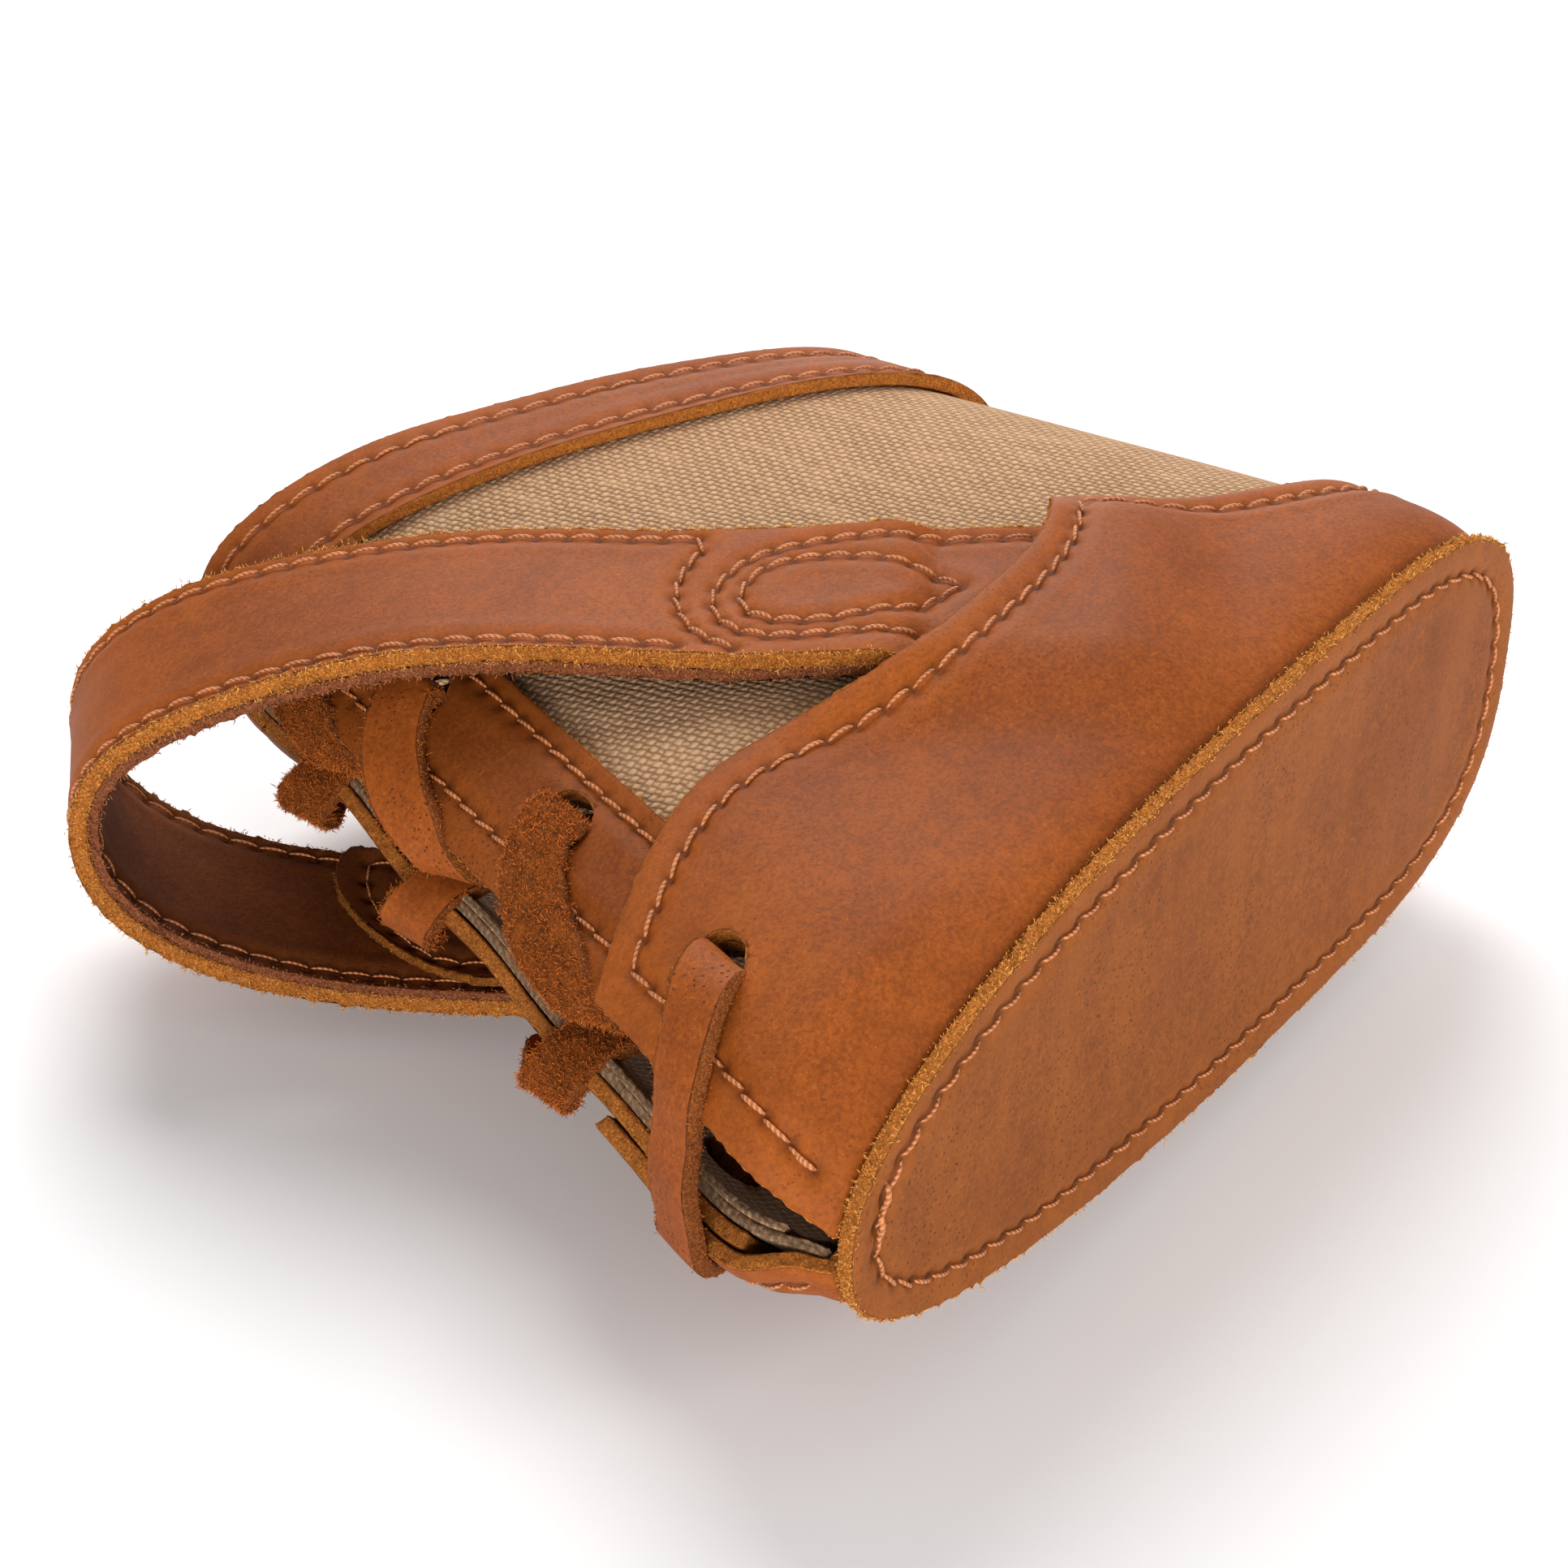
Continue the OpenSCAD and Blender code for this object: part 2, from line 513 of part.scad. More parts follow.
// Lines sewn through the strap: two along its edges and the anchor pattern on each side
edge_line = strap_w / 2 - 1.8;
module strap_stitching_loop() {
  function line(w, up) = [for (q = loop_rows(strap_t + up)) loop_point(q, w)];
  color(THREAD) place() for (w = [edge_line, -edge_line])
    seam(line(w, lift_off + fit), line(w, thread_h + fit));
}
function on_strap(s, w, up) = let(q = in_plan(s, w)) [q.x, q.y, end_z(s, w) + strap_t + up];
module strap_line(points) seam([for (p = points) on_strap(p.x, p.y, seam_clear)],
  [for (p = points) on_strap(p.x, p.y, seam_clear + thread_h)]);
module strap_stitching(side) place() flip(side) {
  last = flex - flex_gap / 2 - 1;
  for (w = [edge_line, -edge_line]) strap_line([[6, w], [last, w]]);
  // arc that closes the loop's edge lines
  strap_line([for (a = [-70:14:70]) [-1 + 9 * cos(a), edge_line * sin(a) / sin(70) * 0.93]]);
  // long rounded line around the drop
  strap_line(concat([for (i = [0:4]) [-26 + i * 5, 12.2 - i * 0.7]],
    [for (a = [75:-15:-75]) [-5 + 8.5 * cos(a), 9.2 * sin(a)]], [[-9, -8.8], [-16, -7.8]]));
  // drop with its point towards the boot
  strap_line(concat([[-22.6, 1]], [for (a = [125:-25:-125]) [-7 + 7.5 * cos(a), 6.5 * sin(a)]],
    [[-22.2, 0.4]]));
}
module strap_stitching_a() color(THREAD) strap_stitching(1);
module strap_stitching_b() color(THREAD) strap_stitching(-1);

base_panel();
base_pad();
lining();
canvas_body();
boot();
mouth_band();
facing_a();
facing_b();
strap_face_end_a();
strap_face_end_b();
strap_inner_end_a();
strap_inner_end_b();
tab_root_a();
tab_root_b();
strap_face_loop();
strap_inner_loop();
tab_tip_a();
tab_tip_b();
lace_bar();
lace_over_a();
lace_over_b();
base_stitching();
boot_stitching_a();
boot_stitching_b();
mouth_stitching();
facing_stitching_a();
facing_stitching_b();
strap_stitching_loop();
strap_stitching_a();
strap_stitching_b();
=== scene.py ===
"""Laced sleeve of oiled leather and canvas with a carrying loop, lying on its side.

Lengths in the shape functions are millimetres in the maker's frame: X from the laced side to the heel
side, Y from the base to the mouth, Z up from the middle of the sleeve. Meshes are written in metres, in
the frame of the solids."""

import math

import bpy
import numpy as np
from bpy.props import FloatProperty, FloatVectorProperty, PointerProperty
from mathutils import Matrix


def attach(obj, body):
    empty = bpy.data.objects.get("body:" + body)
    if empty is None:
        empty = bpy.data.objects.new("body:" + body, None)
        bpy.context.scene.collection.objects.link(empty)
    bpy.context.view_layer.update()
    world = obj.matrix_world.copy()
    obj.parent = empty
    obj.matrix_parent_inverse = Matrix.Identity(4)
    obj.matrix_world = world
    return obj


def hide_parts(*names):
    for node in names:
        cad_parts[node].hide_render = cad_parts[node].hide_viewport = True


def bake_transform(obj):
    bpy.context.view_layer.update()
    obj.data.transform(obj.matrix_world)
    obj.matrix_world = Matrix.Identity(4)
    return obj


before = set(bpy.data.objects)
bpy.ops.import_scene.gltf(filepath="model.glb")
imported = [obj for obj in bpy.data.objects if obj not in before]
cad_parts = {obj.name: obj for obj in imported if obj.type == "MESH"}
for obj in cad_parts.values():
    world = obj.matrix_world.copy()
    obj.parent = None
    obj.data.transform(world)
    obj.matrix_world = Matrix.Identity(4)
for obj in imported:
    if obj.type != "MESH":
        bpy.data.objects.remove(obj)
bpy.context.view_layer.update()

bl_info = {
    "name": "Laced leather sleeve",
    "version": (1, 0, 0),
    "blender": (4, 5, 0),
    "location": "View3D > Sidebar > Sleeve",
    "description": "Builds a laced sleeve of leather and canvas with a carrying loop",
    "category": "Object",
}

# ---- sizes shared with the solid model, in millimetres ---------------------------------

PLACE = np.array([1.2, -64.9, 30.1])  # the maker's frame inside the row's frame
BASE_W, BASE_T = 133.8, 48.8  # width and thickness of the base oval
LACED_LEN, HEEL_LEN = 126.5, 83.0  # length of the sleeve at its two sides
THINNING, LEAN = 0.00235, 0.425  # taper towards the mouth
RIDGE_X, HEEL_X, HEEL_LEAN = 27.8, 66.0, 0.0285
TIP_X = HEEL_X - BASE_W
TIP_POWER, HEEL_POWER = 2.37, 2.84  # roundness of the section's two halves
PINCH, PINCH_RUN, PANEL_T = 3.4, 4.5, 2.0  # how the wall is drawn in at the base seam
GAP_HALF = 8.0  # half of the lacing gap
BAND_W, BAND_SKEW = 14.0, 0.15  # the mouth band's width, and how much it narrows
FACING_W, FACING_FOOT = 17.0, 13.0  # the facings' width and where they start
BOOT_HEEL_H, BOOT_POINT_H = 20.0, 39.5  # the boot's height at the heel and at its point
HOLE_INSET, HOLE_FIRST, HOLE_PITCH, HOLE_TOP = 10.0, 24.5, 28.6, 105.4
STRAP_W, STRAP_REF, STRAP_ANGLE = 25.0, np.array([-10.0, 55.0]), math.radians(31)
ALONG = np.array([-math.sin(STRAP_ANGLE), math.cos(STRAP_ANGLE)])
OVER = np.array([math.cos(STRAP_ANGLE), math.sin(STRAP_ANGLE)])
LOOP_REACH, REST_Z, TUCK, FLEX = 73.1, 20.9, -38.0, 21.0
SKEW, BEND_START, BEND_POWER, DROOP = 0.264, 20.0, 2.25, 4.2
TAB_REACH, TAB_MID, TAB_ROUND, TAB_HALF = 47.4, 6.0, 15.0, 20.0
STITCH_IN = 4.0  # distance of a seam from its edge
TAB_SEAM_IN, TAB_SEAM_HALF = 3.4, 9.2  # the tab seam's distance from the tip and from the middle

# ---- sizes of the fine work, in millimetres --------------------------------------------

BOOT_HOLE, FACING_HOLE, CLOTH_HOLE = 3.1, 3.3, 3.9  # radii of the lace holes in each layer
CANVAS_FOOT, LINING_FOOT = 4.2, 9.4  # heights at which the cloths start
LAYER_GAP = 0.15  # room between the canvas and the leather on it
SEAM_DEPTH, HOLE_PIT, STITCH_RISE = 0.26, 0.5, 0.25  # seams and holes drawn in, stitches standing up
STITCH_RINGS, STITCH_CORNERS = 9, 6  # points along and round one stitch
FIBRE_W, FIBRE_ROOT = 0.065, 0.16  # half width of a loose fibre and how far its root strays
LACE_STEP, LACE_CORNER = 0.45, 0.35  # spacing along the lace and radius of its corners
FLOOR_HALF = 6.0  # metres
TURN = 6.28318  # one full turn, for the sines of the weave and the thread


# ---- the user's sizes and colours ------------------------------------------------------


def length(name, text, millimetres, low, high):
    """A length property given in millimetres and kept in metres."""
    return FloatProperty(
        name=name,
        description=text,
        default=millimetres / 1000,
        min=low / 1000,
        max=high / 1000,
        unit="LENGTH",
        subtype="DISTANCE",
        precision=5,
    )


def colour(name, text, rgb):
    """A colour property in linear light."""
    return FloatVectorProperty(
        name=name, description=text, default=rgb, size=3, min=0, max=1, subtype="COLOR"
    )


class SleeveSizes(bpy.types.PropertyGroup):
    hide: length("Leather", "Thickness of the boot, band and facing leather", 1.8, 1.2, 2.4)
    canvas: length("Canvas", "Thickness of the canvas", 1.1, 0.6, 1.3)
    lining: length("Lining", "Thickness of the lining cloth", 0.9, 0.5, 1.0)
    strap_face: length("Strap face", "Thickness of the strap's face leather", 1.9, 1.4, 2.2)
    strap_inner: length("Strap inner", "Thickness of the strap's inner leather", 1.3, 0.9, 1.5)
    tab: length("Tab", "Thickness of the rounded tabs", 1.4, 1.0, 1.6)
    lace_width: length("Lace width", "Width of the lace", 6.5, 4, 8)
    lace_thick: length("Lace thickness", "Thickness of the lace", 1.8, 1, 2.4)
    thread: length("Thread", "Width of the thread", 0.43, 0.3, 1.1)
    pitch: length("Stitch", "Length from one stitch to the next", 3.5, 3, 5)
    weave: length("Weave", "Distance between the canvas's yarns", 0.92, 0.5, 1.6)
    cell: length("Grid", "Size of a cell in the leather's grids", 0.62, 0.5, 2)


class SleeveColours(bpy.types.PropertyGroup):
    leather: colour("Leather", "Oiled tan leather", (0.286, 0.0655, 0.0092))
    base: colour("Base", "Leather of the base panel", (0.238, 0.064, 0.0118))
    edge: colour("Raw edge", "Cut edge of the leather", (0.840, 0.290, 0.046))
    suede: colour("Suede", "Flesh side of the leather", (0.310, 0.078, 0.0105))
    inner: colour("Inner leather", "Inner layer of the strap", (0.140, 0.036, 0.0085))
    # Canvas and canvas shade are the two ends of the weave's tone: the yarn humps are painted towards
    # canvas as painted light and the gaps towards canvas shade as painted shade, mixed with real yarn tone
    # and worn specks
    canvas: colour("Canvas", "Light yarns of the canvas", (0.680, 0.415, 0.228))
    shade: colour("Canvas shade", "Dark yarns of the canvas", (0.235, 0.118, 0.052))
    thread: colour("Thread", "Sewing thread", (0.600, 0.213, 0.074))
    floor: colour("Floor", "Pale floor", (0.93, 0.93, 0.93))


# ---- arrays and curves -----------------------------------------------------------------


def ramp(v):
    """3 u squared minus 2 u cubed, with u held between 0 and 1."""
    u = np.clip(v, 0.0, 1.0)
    return u * u * (3 - 2 * u)


def unit(v):
    """Vectors divided by their length."""
    return v / np.maximum(np.linalg.norm(v, axis=-1, keepdims=True), 1e-9)


def running(points):
    """Distance run along a row of points, from 0 at the first."""
    steps = np.linalg.norm(np.diff(points, axis=0), axis=1)
    return np.concatenate([[0.0], np.cumsum(steps)])


def resample(points, s, at):
    """Points of a broken line whose running distance is s, at the distances given."""
    return np.stack([np.interp(at, s, points[:, k]) for k in range(points.shape[1])], axis=1)


def smooth_curve(points, count):
    """Catmull-Rom curve: a cubic on each span, its end slopes half the chord between the neighbours."""
    p = np.asarray(points, float)
    q = np.vstack([2 * p[0] - p[1], p, 2 * p[-1] - p[-2]])
    t = np.linspace(0, len(p) - 1 - 1e-9, count)
    i = t.astype(int)
    u = (t - i)[:, None]
    a, b, c, d = q[i], q[i + 1], q[i + 2], q[i + 3]
    return 0.5 * (
        2 * b + (c - a) * u + (2 * a - 5 * b + 4 * c - d) * u**2 + (3 * b - a - 3 * c + d) * u**3
    )


def grid_normals(p):
    """Unit normals of a grid of points: the cross product of its two central differences."""
    return unit(np.cross(np.gradient(p, axis=0), np.gradient(p, axis=1)))


def wobble(p, size, seed):
    """Smooth field from -1 to 1: the mean of six sine waves of one wavelength in random directions."""
    rng = np.random.default_rng(seed)
    k = rng.normal(size=(6, 3))
    k = k / np.linalg.norm(k, axis=1, keepdims=True) * (2 * np.pi / size)
    phase = rng.uniform(0, 2 * np.pi, 6)
    return np.sin(p @ k.T + phase).mean(axis=-1) * 1.6


def nearest(points, others):
    """Distance from each point to the closest of the others, from |a|^2 + |b|^2 - 2ab."""
    out = np.empty(len(points), np.float32)
    o = others.astype(np.float32)
    oo = (o * o).sum(1)
    for lo in range(0, len(points), 8192):
        p = points[lo : lo + 8192].astype(np.float32)
        d = (p * p).sum(1)[:, None] + oo[None] - 2 * p @ o.T
        out[lo : lo + 8192] = np.sqrt(np.maximum(d.min(1), 0))
    return out


# ---- the sleeve's wall -----------------------------------------------------------------


def half_t(y):
    """Half the thickness: it falls in a straight line with height."""
    return BASE_T / 2 * (1 - THINNING * y)


def heel_at(y):
    """Heel end of the section: it leans in along a straight line."""
    return HEEL_X - HEEL_LEAN * y


def tip_at(y):
    """Laced end of the section: upright at the base, then leaning in along a hyperbola's arm."""
    return TIP_X - 1.6 + LEAN * ((y - 13) + np.sqrt((y - 13) ** 2 + 60)) / 2


def gap_at(y):
    """Half of the lacing gap: it opens as 1 minus an exponential and narrows slowly towards the mouth."""
    return GAP_HALF * (1 - np.exp(-(y + 1) / 9)) * (1 - 0.004 * y)


def halves(right, y):
    """Power and half width of the section, towards the heel where right and towards the lacing
    elsewhere."""
    n = np.where(right, HEEL_POWER, TIP_POWER)
    return n, np.where(right, heel_at(y) - RIDGE_X, RIDGE_X - tip_at(y))


def oval(t, y):
    """Upper half of the section: x and z are powers 2/n of cos t and sin t, with its own n on each side."""
    c, s = np.cos(t), np.sin(t)
    right = c >= 0
    n, a = halves(right, y)
    x = RIDGE_X + np.where(right, 1, -1) * a * np.abs(c) ** (2 / n)
    return x, half_t(y) * np.maximum(s, 0) ** (2 / n)


def edge_angle(y):
    """Angle at which the section reaches the lacing gap."""
    return np.pi - np.arcsin(np.maximum(gap_at(y) / half_t(y), 0) ** (TIP_POWER / 2))


LEVELS = np.arange(-4.0, 138.0, 3.0)
SHARES = np.linspace(0, 1, 401)


def section_tables():
    """Angle against the share of the half section's length, and that length, at every level."""
    t = edge_angle(LEVELS)[:, None] * (1 - np.linspace(0, 1, 901))[None]
    x, z = oval(t, LEVELS[:, None])
    s = np.concatenate(
        [np.zeros((len(LEVELS), 1)), np.cumsum(np.hypot(np.diff(x), np.diff(z)), axis=1)], axis=1
    )
    return np.stack([np.interp(SHARES * r[-1], r, a) for r, a in zip(s, t)]), s[:, -1]


ANGLES, LENGTHS = section_tables()


def half_len(y):
    """Length of the half section at height y, from the lacing gap round to the heel."""
    return np.interp(y, LEVELS, LENGTHS)


def angle_at(c, y):
    """Angle of share c at height y, read from the table with two-way linear steps."""
    fy = np.clip((y - LEVELS[0]) / (LEVELS[1] - LEVELS[0]), 0, len(LEVELS) - 1.0001)
    fc = np.clip(c, 0, 1) * (len(SHARES) - 1)
    i = fy.astype(int)
    j = np.minimum(fc.astype(int), len(SHARES) - 2)
    u, v = fy - i, fc - j
    return (1 - u) * ((1 - v) * ANGLES[i, j] + v * ANGLES[i, j + 1]) + u * (
        (1 - v) * ANGLES[i + 1, j] + v * ANGLES[i + 1, j + 1]
    )


def sleeve(k, y, off):
    """Points and normals of the wall: k is -1 at the upper laced edge, 0 at the heel and 1 at the lower
    edge.

    A point is the oval's point moved out along the oval's own normal by off, less the pinch at the base
    seam. The lower lip is lifted a little near the base and waves slightly, as a sine of the height."""
    k, y, off = np.broadcast_arrays(*(np.asarray(v, float) for v in (k, y, off)))
    side = np.where(k > 0, -1.0, 1.0)
    c = 1 - np.abs(k)
    x, z = oval(angle_at(c, y), y)
    right = x >= RIDGE_X
    n, a = halves(right, y)
    gx = np.where(right, 1, -1) * (np.maximum(np.abs(x - RIDGE_X), 0.001) / a) ** (n - 1) / a
    gz = (np.maximum(z, 0) / half_t(y)) ** (n - 1) / half_t(y)
    size = np.hypot(gx, gz)
    gx, gz = gx / size, gz / size
    e = off - PINCH * np.exp(-(y - PANEL_T) / PINCH_RUN)
    s = c * half_len(y)
    lip = np.where(k > 0, ramp(1 - s / 22), 0.0)
    rise = lip * (2.4 * ramp((y - 1) / 6) + 0.8 * ramp((y - 30) / 20)) * ramp((118 - y) / 20)
    wave = 0.5 * lip * np.sin(y / 4.6 + 0.6) * ramp((y - 4) / 8)
    p = np.stack([x + e * gx, y + 0 * x, side * (z + e * gz) + rise + wave], axis=-1)
    return p, np.stack([gx, 0 * gx, side * gz], axis=-1)


def x_of(c, y):
    """Place across the sleeve of share c at height y."""
    return oval(angle_at(c, y), y)[0]


def top_z(x, y):
    """Height of the upper side over a place in plan, from the section's superellipse."""
    n, a = halves(x >= RIDGE_X, y)
    return half_t(y) * np.maximum(1 - (np.abs(x - RIDGE_X) / a) ** n, 0) ** (1 / n)


def rim_c(c):
    """Height of the rim: level at the laced side, then falling as a power of the distance towards the
    heel."""
    x = x_of(c, np.full_like(c, 100.0))
    return LACED_LEN - (LACED_LEN - HEEL_LEN) * (np.maximum(x + 30, 0) / 95) ** 1.3


def band_low_c(c):
    """Lower edge of the mouth band: the rim less a width that shrinks in a straight line towards the
    heel."""
    return rim_c(c) - BAND_W * (1.1 - BAND_SKEW * c)


def boot_edge_c(c):
    """Upper edge of the boot: a cosine wave, a parabola up to the point and a power curve down to the
    heel."""
    x = x_of(c, np.full_like(c, 32.0))
    return np.where(
        x < -5,
        36.6 + 4.6 * np.cos(2 * np.pi * (x + 40) / 70),
        np.where(
            x < 24,
            32 + (BOOT_POINT_H - 32) * (np.maximum(x + 5, 0) / 29) ** 3.3,
            BOOT_HEEL_H + (BOOT_POINT_H - BOOT_HEEL_H) * np.maximum(1 - (x - 24) / 40, 0) ** 2.5,
        ),
    )


def to_strap(x, y):
    """Place in plan as distances along and across the strap."""
    dx, dy = x - STRAP_REF[0], y - STRAP_REF[1]
    return dx * ALONG[0] + dy * ALONG[1], dx * OVER[0] + dy * OVER[1]


def in_plan(s, w):
    """Place in plan of distances along and across the strap."""
    return tuple(STRAP_REF[i] + ALONG[i] * s + OVER[i] * w for i in (0, 1))


def boot_lift(c, y):
    """How far the boot's inside stands off the canvas: it climbs over the facing and over the strap's
    sewn end."""
    s = c * half_len(y)
    u, w = to_strap(x_of(c, y), y)
    facing = 1.9 * ramp((FACING_W + 26 - s) / 25) * ramp((y - 4) / 9)
    over = ramp((u + 53) / 16) * ramp((27 - np.abs(w - 1.5)) / 14)
    return 0.3 + facing + over * (4.0 + 0.45 * np.exp(-(((boot_edge_c(c) - y) / 1.9) ** 2)))


# ---- the strap -------------------------------------------------------------------------


def strap_path():
    """Inside of the strap seen edge on: two sloping legs joined by half a superellipse, with its running
    length."""
    leg = np.linspace(TUCK, BEND_START, 60)[:-1]
    reach = LOOP_REACH - BEND_START
    f = np.linspace(1, -1, 261)
    a = np.pi / 2 * np.sign(f) * np.abs(f) ** 0.85
    s = BEND_START + reach * np.maximum(np.cos(a), 0) ** (2 / BEND_POWER)
    z = REST_Z * np.sign(a) * np.abs(np.sin(a)) ** (2 / BEND_POWER)
    low = REST_Z + np.minimum(leg + 5, 0) * 0.3
    path = np.concatenate([np.stack([leg, low], 1), np.stack([s, z], 1), np.stack([leg, -low], 1)[::-1]])
    return path, running(path)


STRAP_PATH, STRAP_RUN = strap_path()
STRAP_END = STRAP_RUN[-1]


def leg_run(s, mirrored=False):
    """Running length of the place s on the upper leg; the lower leg's is the same from the other end."""
    upper = STRAP_PATH[: len(STRAP_PATH) // 2]
    run = np.interp(s, upper[:, 0], STRAP_RUN[: len(upper)])
    return STRAP_END - run if mirrored else run


def strap_inside(q, w):
    """Inside face of the strap at running length q and distance w across.

    It is the edge-on path, turned a little at the fold and drooping towards it. Where the sleeve stands
    higher, half the sum of the gap and the root of its square lifts the strap smoothly on to it."""
    s = np.interp(q, STRAP_RUN, STRAP_PATH[:, 0])
    z = np.interp(q, STRAP_RUN, STRAP_PATH[:, 1])
    upper = q < STRAP_END / 2
    x, y = in_plan(s + SKEW * w * ramp((s - 22) / 40), w)
    body = top_z(*in_plan(s, w)) + 0.3 + 1.8 * ramp((s + 20) / 6)
    gap = body - np.abs(z)
    rest = np.where(s < FLEX + 8, 0.5 * (gap + np.sqrt(gap**2 + 0.5)) * ramp((FLEX + 8 - s) / 10), 0)
    z = np.where(upper, z + rest, z - rest)
    return np.stack([x, y, z - DROOP * ramp((s - 15) / 60)], axis=-1)


def strap_at(q, w, up):
    """Points and outward normals of the strap at a height above its inside face."""
    q, w = np.broadcast_arrays(np.asarray(q, float), np.asarray(w, float))
    p = strap_inside(q, w)
    dq = strap_inside(np.minimum(q + 0.4, STRAP_END), w) - strap_inside(np.maximum(q - 0.4, 0), w)
    dw = strap_inside(q, w + 0.4) - strap_inside(q, w - 0.4)
    n = unit(np.cross(dw, dq))
    return p + n * np.asarray(up)[..., None], n


# ---- meshes ----------------------------------------------------------------------------


def write_mesh(name, points, faces, material, values=None, uv=None):
    """Mesh object at the origin, from points in the maker's frame and groups of faces of equal size."""
    mesh = bpy.data.meshes.new(name)
    co = ((np.asarray(points, float) + PLACE) / 1000).astype(np.float32)
    faces = [np.asarray(f, np.int32) for f in faces if len(f)]
    loops = np.concatenate([f.ravel() for f in faces])
    totals = np.concatenate([np.full(len(f), f.shape[1], np.int32) for f in faces])
    mesh.vertices.add(len(co))
    mesh.vertices.foreach_set("co", co.ravel())
    mesh.loops.add(len(loops))
    mesh.loops.foreach_set("vertex_index", loops)
    mesh.polygons.add(len(totals))
    starts = np.concatenate([[0], np.cumsum(totals)[:-1]]).astype(np.int32)
    mesh.polygons.foreach_set("loop_start", starts)
    mesh.polygons.foreach_set("loop_total", totals)
    mesh.polygons.foreach_set("use_smooth", np.full(len(totals), True))
    for key, data in (values or {}).items():
        attribute = mesh.attributes.new(key, "FLOAT", "POINT")
        attribute.data.foreach_set("value", np.asarray(data, np.float32))
    if uv is not None:
        layer = mesh.uv_layers.new(name="cloth")
        layer.data.foreach_set("uv", np.asarray(uv, np.float32)[loops].ravel())
    mesh.update()
    if mesh.validate(verbose=False):
        raise RuntimeError(f"{name}: the mesh had faces that had to be mended")
    mesh.materials.append(material)
    piece = bpy.data.objects.new(name, mesh)
    bpy.context.scene.collection.objects.link(piece)
    return piece


def grid_faces(m, n, keep=None, wrap=False):
    """Corner numbers of the cells of an m by n grid, row by row; wrap joins the last column to the
    first."""
    i, j = np.meshgrid(np.arange(m - 1), np.arange(n if wrap else n - 1), indexing="ij")
    k = (j + 1) % n
    f = np.stack([i * n + j, (i + 1) * n + j, (i + 1) * n + k, i * n + k], axis=-1).reshape(-1, 4)
    return f if keep is None else f[keep.ravel()]


def border_of(faces):
    """Directed edges, as corner pairs, that only one face uses."""
    pairs = np.concatenate([np.stack([f, np.roll(f, -1, axis=1)], -1).reshape(-1, 2) for f in faces])
    big = pairs.max() + 1
    there, back = pairs[:, 0] * big + pairs[:, 1], pairs[:, 1] * big + pairs[:, 0]
    return pairs[~np.isin(there, back)]


def thick_sheet(points, normals, faces, thick, corner, rough, seed):
    """A sheet with a face, a back and cut edges.

    The back is the face moved along the normals by minus the thickness. Each cut edge is a quarter
    circle, a straight cut and another quarter circle, carried round every border, with small random steps
    for a fibrous cut. Returns the points and the faces, for each point how much it belongs to the cut
    edge and to the back, and the point it came from."""
    count = len(points)
    probe = faces[0][len(faces[0]) // 2]
    across = np.cross(points[probe[1]] - points[probe[0]], points[probe[2]] - points[probe[0]])
    if (across * normals[probe[0]]).sum() < 0:
        faces = [f[:, ::-1] for f in faces]
    border = border_of(faces)
    ids, flat = np.unique(border, return_inverse=True)
    edges, around = flat.reshape(-1, 2), len(ids)
    step = points[border[:, 1]] - points[border[:, 0]]
    inward = unit(np.cross(normals[border[:, 0]], step))
    into = np.zeros((around, 3))
    for end in (0, 1):
        np.add.at(into, edges[:, end], inward)
    into = unit(into)
    r = min(corner, thick * 0.4)
    rng = np.random.default_rng(seed)
    angles = np.radians([35, 65, 90])
    inset = [r * (1 - math.sin(a)) for a in angles]
    depth = [r * (1 - math.cos(a)) for a in angles]
    inset = inset + [0.0] + inset[::-1]
    depth = depth + [thick / 2] + [thick - d for d in depth[::-1]]
    edge_mark = [0.15, 0.9, 1, 1, 1, 0.9, 0.5]
    face = points.copy()
    back = points - normals * thick
    face[ids] += into * r
    back[ids] += into * r
    rings, marks = [], []
    for i, d, mark in zip(inset, depth, edge_mark):
        jitter = rng.normal(size=(around, 1)) * rough * min(mark, 1)
        rings.append(points[ids] + into * (i + jitter) - normals[ids] * (d + 0.4 * jitter))
        marks.append(np.full(around, mark))
    chain = [ids] + [2 * count + k * around + np.arange(around) for k in range(len(rings))] + [count + ids]
    strips = [
        np.stack([a[edges[:, 1]], a[edges[:, 0]], b[edges[:, 0]], b[edges[:, 1]]], axis=1)
        for a, b in zip(chain[:-1], chain[1:])
    ]
    all_points = np.concatenate([face, back] + rings)
    all_faces = faces + [f[:, ::-1] + count for f in faces] + [np.concatenate(strips)]
    edge = np.concatenate([np.zeros(2 * count)] + marks)
    flesh = np.concatenate([np.zeros(count), np.ones(count), np.zeros(around * len(rings))])
    source = np.concatenate([np.arange(count), np.arange(count)] + [ids] * len(rings))
    return all_points, all_faces, edge, flesh, source


def tidy_points(points, faces, values):
    """Drops the points that no face uses."""
    used = np.unique(np.concatenate([f.ravel() for f in faces]))
    new = np.full(len(points), -1)
    new[used] = np.arange(len(used))
    return points[used], [new[f] for f in faces], {k: v[used] for k, v in values.items()}


# ---- seams -----------------------------------------------------------------------------


class Seam:
    """A line of sewing: its points and normals, and the places of its stitch holes."""

    def __init__(self, points, normals, pitch, size=1.0, slant=0.28):
        s = running(points)
        self.count = max(int(round(s[-1] / pitch)), 1)
        at = np.linspace(0, s[-1], self.count + 1)
        self.holes = resample(points, s, at)
        self.hole_normals = unit(resample(normals, s, at))
        self.line = resample(points, s, np.arange(0, s[-1], 0.6))
        self.size, self.slant = size, slant * 0.75


